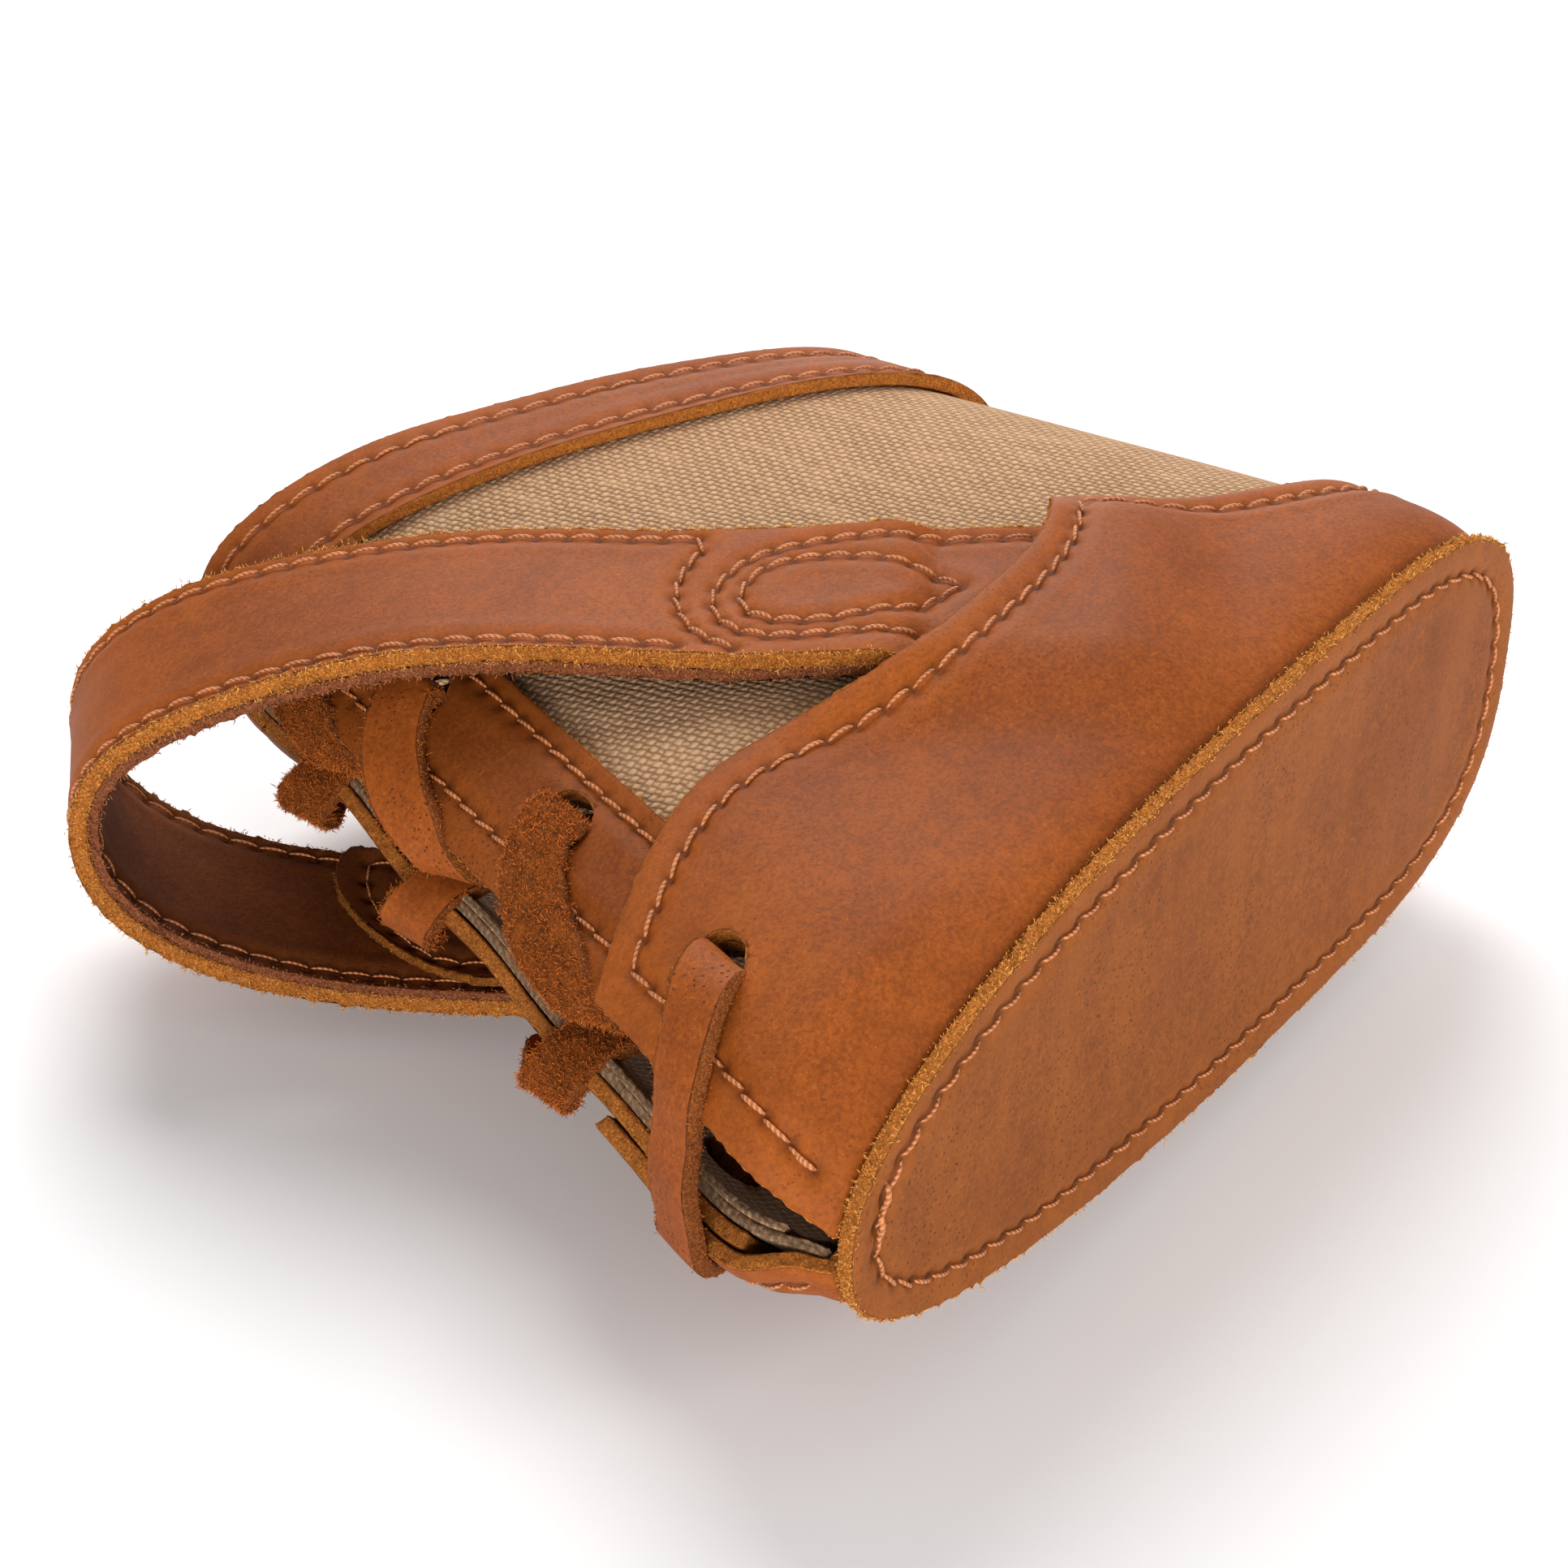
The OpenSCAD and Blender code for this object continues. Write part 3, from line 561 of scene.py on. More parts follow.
def press(points, normals, seams):
    """Leather drawn in along seams: a shallow valley along each line and a pit at each hole, both bell
    curves.

    Returns the moved points, how near each one is to a hole, and how near to a seam."""
    if not seams:
        return points, np.zeros(len(points)), np.zeros(len(points))
    line = nearest(points, np.concatenate([s.line for s in seams]))
    hole = nearest(points, np.concatenate([s.holes for s in seams]))
    valley = np.exp(-((line / 1.25) ** 2))
    pits = np.exp(-((hole / 0.75) ** 2))
    swell = 0.16 * np.exp(-(((line - 2.6) / 1.1) ** 2))
    drawn = SEAM_DEPTH * valley + HOLE_PIT * pits - swell
    return points - normals * drawn[:, None], pits, np.exp(-((line / 2.2) ** 2))


def sewing(name, seams, width):
    """Thread between neighbouring holes: each stitch is an arch, a sine of its share of the way, lying a
    little aslant, with a round section that thins at both ends. Its points keep how far along the stitch
    and how far to the side they are, for the lay of the plies."""
    rings, corners = STITCH_RINGS, STITCH_CORNERS
    all_points, all_quads, all_caps, run, lay, start = [], [], [], [], [], 0
    t = np.linspace(0, 1, rings)
    a = np.linspace(0, 2 * np.pi, corners, endpoint=False)
    arch = np.sin(np.pi * t)[None, :, None]
    for number, seam in enumerate(seams):
        rng = np.random.default_rng(40 + number)
        h, n = seam.holes, seam.hole_normals
        along = h[1:] - h[:-1]
        up = unit(n[1:] + n[:-1])
        side = np.cross(up, unit(along))
        count = len(along)
        tilt = (seam.slant + rng.normal(size=count) * 0.05)[:, None, None]
        size = width / 2 * seam.size * (1 + rng.normal(size=count) * 0.05)[:, None, None]
        high = STITCH_RISE * seam.size * (1 + rng.normal(size=count) * 0.1)[:, None, None]
        share = (0.04 + 0.92 * t)[None, :, None]
        centre = h[:-1][:, None] + along[:, None] * share
        sway = side[:, None] * tilt * (2 * t - 1)[None, :, None]
        centre = centre + up[:, None] * (high * (1.35 * arch**0.75 - 0.7)) + sway
        r = size * np.sqrt(np.maximum(1 - np.abs(2 * t - 1) ** 5, 0.2))[None, :, None]
        ring = (
            centre[:, :, None]
            + side[:, None, None] * (r * np.cos(a))[..., None]
            + up[:, None, None] * (r * np.sin(a) * 0.9)[..., None]
        )
        first = start + np.arange(count)[:, None] * (rings * corners)
        tube = grid_faces(rings, corners, wrap=True)[None] + first[..., None]
        cap = np.arange(corners)[None] + first
        all_quads.append(tube.reshape(-1, 4))
        all_caps += [cap, (cap + (rings - 1) * corners)[:, ::-1]]
        all_points.append(ring.reshape(-1, 3))
        run.append(np.tile(np.repeat(t, corners), count))
        lay.append(np.tile(np.cos(a), rings * count))
        start += count * rings * corners
    values = {"run": np.concatenate(run), "lay": np.concatenate(lay)}
    faces = [np.concatenate(all_quads), np.concatenate(all_caps)]
    return write_mesh(name, np.concatenate(all_points), faces, MATERIALS["thread"], values)


def fibres_on(piece, name, count, reach, finish, mark="edge", seed=1):
    """Short curved fibres standing out of the marked part of a piece: each is a thin three-sided blade of
    two joints that leans off the surface's normal at random, and its length falls off as a power so that
    most are short."""
    mesh = piece.data
    co, normal, weight = (np.empty(len(mesh.vertices) * n, np.float32) for n in (3, 3, 1))
    mesh.vertices.foreach_get("co", co)
    mesh.vertices.foreach_get("normal", normal)
    mesh.attributes[mark].data.foreach_get("value", weight)
    points = co.reshape(-1, 3).astype(float) * 1000 - PLACE
    weight = np.where(weight > 0.8, 1.0, 0.0)
    rng = np.random.default_rng(seed)
    pick = rng.choice(len(points), count, p=weight / weight.sum())
    out = normal.reshape(-1, 3)[pick]
    root = points[pick] + rng.normal(size=(count, 3)) * FIBRE_ROOT - out * 0.1
    lean = unit(out + rng.normal(size=(count, 3)) * 0.6)
    curl = unit(rng.normal(size=(count, 3)))
    size = reach * rng.uniform(0.3, 1.0, (count, 1)) ** 2
    wide = unit(np.cross(lean, curl)) * FIBRE_W
    deep = unit(np.cross(lean, wide)) * FIBRE_W
    mid = root + lean * size * 0.55 + curl * size * 0.16
    tip = root + lean * size + curl * size * 0.5
    ring = [wide, -0.5 * wide + 0.87 * deep, -0.5 * wide - 0.87 * deep]
    p = np.stack([root + r for r in ring] + [mid + 0.8 * r for r in ring] + [tip], axis=1)
    side = np.array([[0, 1, 4, 3], [1, 2, 5, 4], [2, 0, 3, 5]])
    end = np.array([[3, 4, 6], [4, 5, 6], [5, 3, 6], [0, 2, 1]])
    base = (np.arange(count) * 7)[:, None, None]
    faces = [(side[None] + base).reshape(-1, 4), (end[None] + base).reshape(-1, 3)]
    return write_mesh(name, p.reshape(-1, 3), faces, MATERIALS[finish])


# ---- shader expressions ----------------------------------------------------------------


class Wire:
    """A socket of a shader tree on which sums, products and comparisons of numbers add Math nodes."""

    def __init__(self, paint, socket):
        self.paint, self.socket = paint, socket

    def math(self, operation, *others, clamp=False):
        """A Math node on this number and the others."""
        values = {i: v for i, v in enumerate((self,) + others)}
        return self.paint.add("Math", values, {"operation": operation, "use_clamp": clamp})

    def __add__(self, other):
        return self.math("ADD", other)

    def __radd__(self, other):
        return self.math("ADD", other)

    def __mul__(self, other):
        return self.math("MULTIPLY", other)

    def __rmul__(self, other):
        return self.math("MULTIPLY", other)

    def __sub__(self, other):
        return self.math("SUBTRACT", other)

    def __rsub__(self, other):
        return self.paint.add("Math", {0: other, 1: self}, {"operation": "SUBTRACT"})

    def __truediv__(self, other):
        return self.math("DIVIDE", other)

    def __pow__(self, other):
        return self.math("POWER", other)

    def held(self, factor):
        """The number times a factor, held between 0 and 1."""
        return self.math("MULTIPLY", factor, clamp=True)

    def band(self, low, high):
        """0 below low, 1 above high, and a smooth step between."""
        values = {"Value": self, "From Min": low, "From Max": high}
        return self.paint.add("MapRange", values, {"interpolation_type": "SMOOTHSTEP"})


class Paint:
    """A material being built: it adds nodes and hands back their outputs as wires."""

    def __init__(self, name):
        self.material = bpy.data.materials.new(name)
        self.material.use_nodes = True
        self.tree = self.material.node_tree
        self.shader = self.tree.nodes["Principled BSDF"]

    def add(self, kind, values=None, settings=None, out=0):
        """A node of one type: its settings first, then the values or links of its sockets."""
        node = self.tree.nodes.new("ShaderNode" + kind)
        for key, value in (settings or {}).items():
            setattr(node, key, value)
        for key, value in (values or {}).items():
            self.plug(node.inputs[key], value)
        return Wire(self, node.outputs[out])

    def plug(self, socket, value):
        """Links a wire to a socket, or sets its number or colour."""
        if isinstance(value, Wire):
            self.tree.links.new(value.socket, socket)
        elif hasattr(value, "__len__") and socket.type == "RGBA":
            socket.default_value = (*value[:3], 1)
        else:
            socket.default_value = value

    def place(self):
        """Coordinates fixed to the piece, in metres."""
        return self.add("TexCoord", out="Object")

    def noise(self, at, size, detail=2, rough=0.5, distortion=0.0):
        """Noise whose blotches are about size millimetres across."""
        values = {"Vector": at, "Scale": 1000 / size, "Detail": detail, "Roughness": rough}
        return self.add("TexNoise", {**values, "Distortion": distortion})

    def cells(self, at, size, randomness=1.0):
        """Distance to the nearest of scattered points about size millimetres apart, in cells."""
        values = {"Vector": at, "Scale": 1000 / size, "Randomness": randomness}
        return self.add("TexVoronoi", values, {"feature": "F1"})

    def value(self, name):
        """A number kept on the piece's points."""
        return self.add("Attribute", None, {"attribute_name": name}, out="Fac")

    def mix(self, share, a, b):
        """Colour b over colour a by a share."""
        return self.add("Mix", {0: share, 6: a, 7: b}, {"data_type": "RGBA"}, out=2)

    def bump(self, height, depth, under=None):
        """Relief of the given depth in millimetres."""
        values = {"Height": height, "Distance": depth / 1000, "Strength": 1.0}
        if under is not None:
            values["Normal"] = under
        return self.add("Bump", values)

    def stretch(self, at, scale):
        """Coordinates scaled in each direction."""
        return self.add("Mapping", {"Vector": at, "Scale": scale})

    def parts(self, vector):
        """The X and the Y of a vector."""
        node = self.add("SeparateXYZ", {0: vector}).socket.node
        return Wire(self, node.outputs["X"]), Wire(self, node.outputs["Y"])

    def finish(self, **sockets):
        """Fills the shader's sockets, their spaces written as underscores, and returns the material."""
        for key, value in sockets.items():
            self.plug(self.shader.inputs[key.replace("_", " ")], value)
        return self.material


def tint(rgb, factor):
    """A colour times one factor, or times one for each part, held at 1."""
    return tuple(float(v) for v in np.minimum(np.asarray(rgb) * factor, 1.0))


def leather_material(name, grain, edge, suede, streak=0.0, pores=1.0, back=None, gloss=0.52, shine=0.12):
    """Oiled leather: cloudy colour in three sizes, scattered pores, lighter pull-up beside seams, painted
    shade at the stitch holes, ochre cut edges and a brushed flesh side."""
    paint = Paint(name)
    at = paint.place()
    clouds = paint.noise(at, 26, 3, 0.55)
    patches = paint.noise(at, 7.5, 4, 0.6, 0.4)
    mottle = paint.noise(at, 2.4, 4, 0.7)
    fine = paint.noise(at, 0.55, 4, 0.75)
    wear = paint.value("wear")
    hole = paint.value("hole")
    cut = paint.value("edge")
    flesh = paint.value("flesh")

    tone = (clouds + patches * 0.45 + mottle * 0.30).band(0.50, 1.25)
    skin = paint.mix(tone, tint(grain, (0.80, 0.78, 0.85)), tint(grain, (1.20, 1.26, 1.15)))
    grit = (fine * 0.95 + mottle * 0.25).band(0.46, 0.72)
    skin = paint.mix(grit, paint.mix(0.46, skin, tint(grain, 0.30)), skin)
    if streak:
        lines = paint.noise(paint.stretch(at, (1.0, 1.0, 0.16)), 5.5, 3, 0.6).band(0.35, 0.75)
        skin = paint.mix(lines * streak, skin, tint(grain, (1.16, 1.24, 1.15)))
    freckle = paint.noise(at, 0.40, 2, 0.8).band(0.56, 0.68) * (0.35 + mottle.band(0.40, 0.62) * 0.65)
    skin = paint.mix(freckle * 0.42, skin, tint(grain, (1.75, 2.1, 2.0)))
    spots = paint.cells(at, 0.72, 0.9)
    where = paint.noise(at, 14, 2).band(0.40, 0.60)
    pore = (0.23 - spots).held(9.0) * where
    skin = paint.mix(pore * min(0.5 * pores, 0.9), skin, tint(grain, 0.25))
    pull = (wear * (0.35 + patches * 0.6)).held(1.0)
    skin = paint.mix(pull * 0.55, skin, tint(grain, (1.5, 1.62, 1.35)))
    # painted shade: the leather is darkened at each stitch hole, standing in for the shaded inside of the
    # hole
    skin = paint.mix((hole * 1.1).held(0.8), skin, tint(grain, 0.25))

    strands = paint.noise(at, 0.28, 4, 0.75, 0.8)
    tufts = paint.noise(at, 1.4, 3, 0.6)
    fuzz = paint.mix(strands.band(0.38, 0.62), tint(edge, (0.46, 0.36, 0.5)), tint(edge, 1.2))
    fuzz = paint.mix(tufts.band(0.35, 0.7) * 0.35, fuzz, tint(edge, 0.68))
    nap = paint.mix((strands * 0.7 + tufts * 0.4).band(0.40, 0.68), tint(suede, 0.45), tint(suede, 1.45))
    if back is not None:
        nap = paint.mix(mottle.band(0.35, 0.7), tint(back, 0.82), tint(back, 1.15))
    tone = paint.mix(cut.band(0.25, 0.6), paint.mix(flesh, skin, nap), fuzz)

    rough = (gloss + 0.10 * mottle + 0.08 * fine) + (cut + flesh).held(0.3)
    grain_relief = fine * 0.55 + mottle * 0.45 - pore * 0.9 * pores
    under = paint.bump(grain_relief, 0.085)
    cloth = (cut * 0.8 + flesh * (0.9 if back is None else 0.06)).held(1.0)
    normal = paint.bump((strands * 0.9 + tufts * 0.5) * cloth, 0.9, under)
    return paint.finish(Base_Color=tone, Roughness=rough, Normal=normal, Specular_IOR_Level=shine)


def canvas_material(name, light, dark, pitch, worn=0.5):
    """Plain weave from the piece's own cloth coordinates: yarns cross over and under in turn, each
    crossing a rounded hump, with slubs; the humps are painted lighter as painted light and the gaps darker
    as painted shade."""
    paint = Paint(name)
    uv = paint.add("UVMap", None, {"uv_map": "cloth"})
    at = paint.place()
    drift = paint.noise(at, 6, 2, 0.6)
    u, v = paint.parts(uv)
    shake = paint.noise(at, 1.7, 2, 0.6)
    across = u * (1000 / pitch) + drift * 0.9 + shake * 0.45
    along = v * (1000 / pitch) + drift * 0.7 - shake * 0.4
    fu, fv = across.math("FRACT") - 0.5, along.math("FRACT") - 0.5
    parity = (across.math("FLOOR") + along.math("FLOOR")).math("MODULO", 2).math("ABSOLUTE")
    warp = (1 - fu * fu * 3.2) * (0.66 + 0.34 * (fv * TURN).math("COSINE"))
    weft = (1 - fv * fv * 3.4) * (0.28 + 0.26 * (fu * TURN).math("COSINE"))
    height = parity * warp + (1 - parity) * weft
    hair = paint.noise(at, 0.3, 3, 0.7)
    slub = paint.noise(paint.stretch(at, (1, 0.18, 1)), 1.6, 3, 0.6)
    speck = paint.noise(at, 2.2, 4, 0.75)
    # painted light and shade: the weave's height lifts the humps towards the light colour and sinks the
    # gaps towards the dark one, mixed with real yarn tone from the hair and slubs
    tone = (height * 0.95 + hair * 0.75 + slub * 0.2 - 0.42).band(-0.05, 0.75)
    body = paint.mix(tone, dark, light)
    body = paint.mix(slub.band(0.45, 0.75) * 0.2, body, tint(light, 1.12))
    body = paint.mix(speck.band(0.56, 0.74) * worn, body, tint(dark, 0.82))
    edge = paint.value("edge")
    felt = paint.mix(paint.noise(at, 0.5, 3, 0.8).band(0.3, 0.7), tint(dark, 0.6), tint(light, 0.40))
    body = paint.mix(edge * 0.72, body, felt)
    normal = paint.bump(height * 0.8 + hair * 0.4, 0.36)
    return paint.finish(
        Base_Color=body, Roughness=0.9, Normal=normal, Specular_IOR_Level=0.12, Sheen_Weight=0.06
    )


def thread_material(name, tone):
    """Waxed two-ply thread: slanting grooves between the plies, a sine of the place along and across the
    stitch, painted darker as painted shade, fine fibres, and a change of tone from stitch to stitch."""
    paint = Paint(name)
    at = paint.place()
    ply = ((paint.value("run") * 5.0 + paint.value("lay") * 0.42) * TURN).math("SINE")
    fibre = paint.noise(at, 0.22, 3, 0.6)
    run = paint.noise(at, 2.2, 2)
    # painted shade in the grooves between the plies, mixed with the thread's own fibre and stitch-to-stitch
    # tone
    ply_shade_and_tone = (ply * 0.20 + fibre * 0.55 + run * 0.5).band(0.22, 0.86)
    body = paint.mix(ply_shade_and_tone, tint(tone, 0.50), tint(tone, 1.28))
    return paint.finish(
        Base_Color=body,
        Roughness=0.5 + 0.2 * fibre,
        Normal=paint.bump(ply * 0.5 + fibre * 0.5, 0.10),
        Specular_IOR_Level=0.35,
    )


def fibre_material(name, tone):
    """Loose leather fibres: the colour changes from tuft to tuft."""
    paint = Paint(name)
    at = paint.place()
    tuft = paint.noise(at, 0.8, 3, 0.8)
    body = paint.mix(tuft.band(0.35, 0.68), tint(tone, 0.55), tint(tone, 1.25))
    return paint.finish(Base_Color=body, Roughness=0.85, Specular_IOR_Level=0.2)


def plain_cloth_material(name, tone):
    """Felted foam cover: soft speckle in two sizes."""
    paint = Paint(name)
    at = paint.place()
    speck = paint.noise(at, 0.9, 4, 0.7)
    body = paint.mix(speck.band(0.35, 0.7), tint(tone, 0.7), tint(tone, 1.3))
    return paint.finish(Base_Color=body, Roughness=0.95, Normal=paint.bump(speck, 0.25), Sheen_Weight=0.2)


MATERIALS = {}


def make_materials(colours, sizes):
    """Fills the table of materials from the chosen colours."""
    names = ("leather", "base", "edge", "suede", "inner", "canvas", "shade", "thread")
    oiled, base, cut, flesh, inner, light, dark, thread = (tuple(getattr(colours, n)) for n in names)
    layer = {"back": inner, "gloss": 0.7, "shine": 0.07}
    for key, name, grain, edge, suede, settings in (
        ("leather", "oiled_leather", oiled, cut, flesh, {"pores": 0.6}),
        # painted shade: the facings get a darker copy (0.80) of the oiled leather, standing in for the
        # shadow the strap throws over them
        ("facing", "facing_leather", tint(oiled, 0.80), cut, flesh, {"pores": 1.5}),
        ("base", "base_leather", base, cut, flesh, {"streak": 0.45, "pores": 1.3, "gloss": 0.56}),
        ("strap", "strap_leather", tint(oiled, 1.04), cut, flesh, {"pores": 0.5}),
        ("inner", "inner_leather", inner, (0.48, 0.16, 0.06), inner, layer),
        ("tab", "tab_leather", inner, tint(cut, 0.62), inner, layer),
        # painted light: the laces get a lighter copy (1.12) of the oiled leather, standing in for the side
        # light on the lace bar
        ("lace", "lace_leather", tint(oiled, 1.12), (0.44, 0.135, 0.028), flesh, {"pores": 1.9}),
    ):
        MATERIALS[key] = leather_material(name, grain, edge, suede, **settings)
    weave = sizes.weave * 1000
    MATERIALS.update(
        canvas=canvas_material("canvas", light, dark, weave),
        lining=canvas_material("lining_cloth", tint(light, 0.9), tint(dark, 0.9), weave * 0.95, 0.3),
        thread=thread_material("waxed_thread", thread),
        pad=plain_cloth_material("pad_felt", (0.09, 0.075, 0.06)),
        edge_fibre=fibre_material("edge_fibre", (0.90, 0.40, 0.09)),
        suede_fibre=fibre_material("suede_fibre", tint(flesh, 1.75)),
        inner_fibre=fibre_material("inner_fibre", (0.52, 0.19, 0.075)),
    )


# ---- pieces ----------------------------------------------------------------------------


def hole_list():
    """Heights of the lace holes and their shares of the half section."""
    y = np.minimum(HOLE_FIRST + HOLE_PITCH * np.arange(4.0), HOLE_TOP)
    return y, HOLE_INSET / half_len(y)


def corners_of(cells):
    """Points of a grid that are a corner of any marked cell."""
    marked = np.zeros((cells.shape[0] + 1, cells.shape[1] + 1), bool)
    for rows in (slice(0, -1), slice(1, None)):
        for columns in (slice(0, -1), slice(1, None)):
            marked[rows, columns] |= cells
    return marked


def punch(k, y, radius):
    """Opens the lace holes in a grid of wall places: cells inside a hole go, and their outer corners move
    to its rim. Returns the places, the cells that stay and each point's distance from the nearest rim."""
    keep = np.ones((k.shape[0] - 1, k.shape[1] - 1), bool)
    near = np.full(k.shape, 99.0)
    for hy, hc in zip(*hole_list()):
        scale = half_len(hy)
        for side in (-1, 1):
            middle = side * (1 - hc)
            dk, dy = (k - middle) * scale, y - hy
            d = np.hypot(dk, dy)
            gone = (d[1:, 1:] + d[:-1, 1:] + d[1:, :-1] + d[:-1, :-1]) / 4 < radius * 0.93
            keep &= ~gone
            rim = corners_of(gone) & corners_of(~gone)
            f = np.where(rim, radius / np.maximum(d, 0.1), 1.0)
            k = np.where(rim, middle + dk * f / scale, k)
            y = np.where(rim, hy + dy * f, y)
            near = np.minimum(near, np.abs(np.hypot((k - middle) * scale, y - hy) - radius))
    return k, y, keep, near


def leather_piece(
    name, p, n, faces, thick, finish, seams, wear=None, seed=1, uv=None, rough=0.12, corner=0.3
):
    """Leather or cloth sheet with pressed seams, cut edges and its marks; returns the object."""
    flat_p, flat_n = p.reshape(-1, 3), n.reshape(-1, 3)
    pressed, pits, near = press(flat_p, flat_n, seams)
    points, faces, edge, flesh, source = thick_sheet(pressed, flat_n, faces, thick, corner, rough, seed)
    front = np.ones(len(points))
    front[len(pressed) : 2 * len(pressed)] = 0
    worn = near * 0.8 if wear is None else np.clip(near * 0.8 + wear.ravel(), 0, 1.3)
    values = {"edge": edge, "flesh": flesh, "hole": pits[source] * front, "wear": worn[source] * front}
    if uv is not None:
        deep = np.linalg.norm(points - pressed[source], axis=1)
        values["u"], values["v"] = uv[0].ravel()[source] + deep, uv[1].ravel()[source]
    points, faces, values = tidy_points(points, faces, values)
    coords = None if uv is None else np.stack([values.pop("u"), values.pop("v")], axis=1) / 1000
    return write_mesh(name, points, faces, MATERIALS[finish], values, coords)


def edge_wear(distance, reach=3.0):
    """Lighter leather along an edge: a bell curve of the distance from it."""
    return 0.5 * np.exp(-((distance / reach) ** 2))


def own(piece, body, slot_name, *nodes):
    """Ties a piece to its body and hides the solids it stands for; its finish slot is not used."""
    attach(piece, body)
    if nodes:
        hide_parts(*nodes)
    return piece


def over_joint(piece, slot_name, *nodes):
    """A piece that runs from the sleeve into the loop: hides the solids it stands for and bakes its
    transform into its points.
    """
    if nodes:
        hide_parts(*nodes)
    a, b = (np.append(in_plan(s, 0), 0) + PLACE for s in (FLEX - 12, FLEX + 24))
    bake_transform(piece)
    return piece


def base_place(t, inset):
    """Base oval at angle t, drawn in by inset: x and z, with z signed."""
    c, s = np.cos(t), np.sin(t)
    right = c >= 0
    n = np.where(right, HEEL_POWER, TIP_POWER)
    a = np.where(right, HEEL_X - RIDGE_X, RIDGE_X - TIP_X) - inset
    x = RIDGE_X + np.where(right, 1, -1) * a * np.abs(c) ** (2 / n)
    return x, np.sign(s) * (BASE_T / 2 - inset) * np.abs(s) ** (2 / n)


def even_angles(count, inset):
    """Angles round the base oval at equal steps of its length."""
    t = np.linspace(0, 2 * np.pi, 4001)
    x, z = base_place(t, inset)
    s = running(np.stack([x, z], 1))
    return np.interp(np.linspace(0, s[-1], count, endpoint=False), s, t)


def base_seam(pitch):
    """Seam round the base oval, drawn in from its edge."""
    t = np.append(even_angles(700, STITCH_IN), 2 * np.pi)
    x, z = base_place(t, STITCH_IN)
    p = np.stack([x, 0 * x + 0.25, z], 1)
    return Seam(p, np.tile([0.0, -1.0, 0.0], (len(p), 1)), pitch, slant=-0.3)


def build_base_panel(sizes):
    """Plate: points go from the middle line of the oval out to its edge, closer together near the seam.
    The face is faintly dished, with the seam drawn in."""
    columns = 2 * int(310 / sizes.cell / 1000 * 0.45)
    t = even_angles(columns, 0)
    inset = np.concatenate([np.arange(0, 9, 0.5), np.linspace(9.2, BASE_T / 2 - 0.6, 22)])[::-1]
    tt, ii = np.meshgrid(t, inset)
    x, z = base_place(tt, ii)
    p = np.stack([x, 0 * x, z], -1)
    p[..., 1] += 0.18 * wobble(p, 22, 5) * ramp(ii / 8) + 0.22
    normals = np.tile([0.0, -1.0, 0.0], (p.shape[0] * p.shape[1], 1))
    m, i = columns, np.arange(1, columns // 2 - 1)
    middle = np.stack([i, i + 1, m - i - 1, m - i], 1)
    ends = np.array([[0, 1, m - 1], [m // 2 - 1, m // 2, m // 2 + 1]])
    groups = [np.concatenate([grid_faces(*p.shape[:2], wrap=True), middle]), ends]
    seam = base_seam(sizes.pitch * 1000)
    wear = edge_wear(ii, 2.6)
    thick = PANEL_T - 0.25
    name = "base_panel_leather"
    piece = leather_piece(name, p, normals, groups, thick, "base", [seam], wear, 3, rough=0.16)
    own(piece, "sleeve", "base_leather", "base_panel")
    own(fibres_on(piece, "base_fibres", 8000, 0.5, "edge_fibre"), "sleeve", "base_leather")
    toe = [[TIP_X + 4.2, 0.2, 0.0], [TIP_X + 4.6, 0.2, 3.4], [TIP_X + 5.6, 0.2, 6.4]]
    tacks = [Seam(np.array(toe), np.tile([0.0, -1.0, 0.0], (3, 1)), 3.2, 1.55, 0.1)]
    own(sewing("base_thread", [seam] + tacks, sizes.thread * 1000), "sleeve", "thread", "base_stitching")


def build_pad(sizes):
    """Insole: the base oval drawn in by 7 mm, with rounded rims, the two faces joined by half circles."""
    t = even_angles(180, 7)
    low, high, rounded = 4.6, 8.9, 2.1
    a = np.linspace(-np.pi / 2, np.pi / 2, 9)
    rings = [(7 + rounded * (1 - math.cos(v)) + 0.2, (low + high) / 2 + rounded * math.sin(v)) for v in a]
    inner = np.linspace(9.5, BASE_T / 2 - 0.4, 9)
    rings = [(i, low) for i in inner[::-1]] + rings + [(i, high) for i in inner]
    x, z = zip(*[base_place(t, i) for i, _ in rings])
    y = np.array([v for _, v in rings])[:, None] + 0 * t[None]
    p = np.stack([np.array(x), y, np.array(z)], -1)
    m = len(t)
    faces = grid_faces(*p.shape[:2], wrap=True)
    caps = [np.arange(m)[None], (np.arange(m)[::-1] + (len(rings) - 1) * m)[None]]
    piece = write_mesh("base_pad_felt", p.reshape(-1, 3), [faces, np.concatenate(caps)], MATERIALS["pad"])
    own(piece, "sleeve", "pad", "base_pad")


def cloth_grid(cell, foot, back):
    """Places of the cloth, from its foot to just under the rim, its laced edges set back a little."""
    columns = int(2 * half_len(40) / cell)
    rows = int(125 / cell)
    end = 1 - back / half_len(60)
    k, v = np.meshgrid(np.linspace(-end, end, columns), np.linspace(0, 1, rows))
    top = rim_c(1 - np.abs(k)) - 0.5
    return k, foot + (top - foot) * v


def flat_size(p):
    """Area of a grid's cells, and the width and length of the cut it was made from."""
    a = np.linalg.norm(np.cross(p[1:, :-1] - p[:-1, :-1], p[:-1, 1:] - p[:-1, :-1]), axis=-1).sum()
    wide = np.linalg.norm(np.diff(p, axis=1), axis=-1).sum(1).max()
    tall = np.linalg.norm(np.diff(p, axis=0), axis=-1).sum(0).max()
    return a / 1e6, wide / 1000, tall / 1000


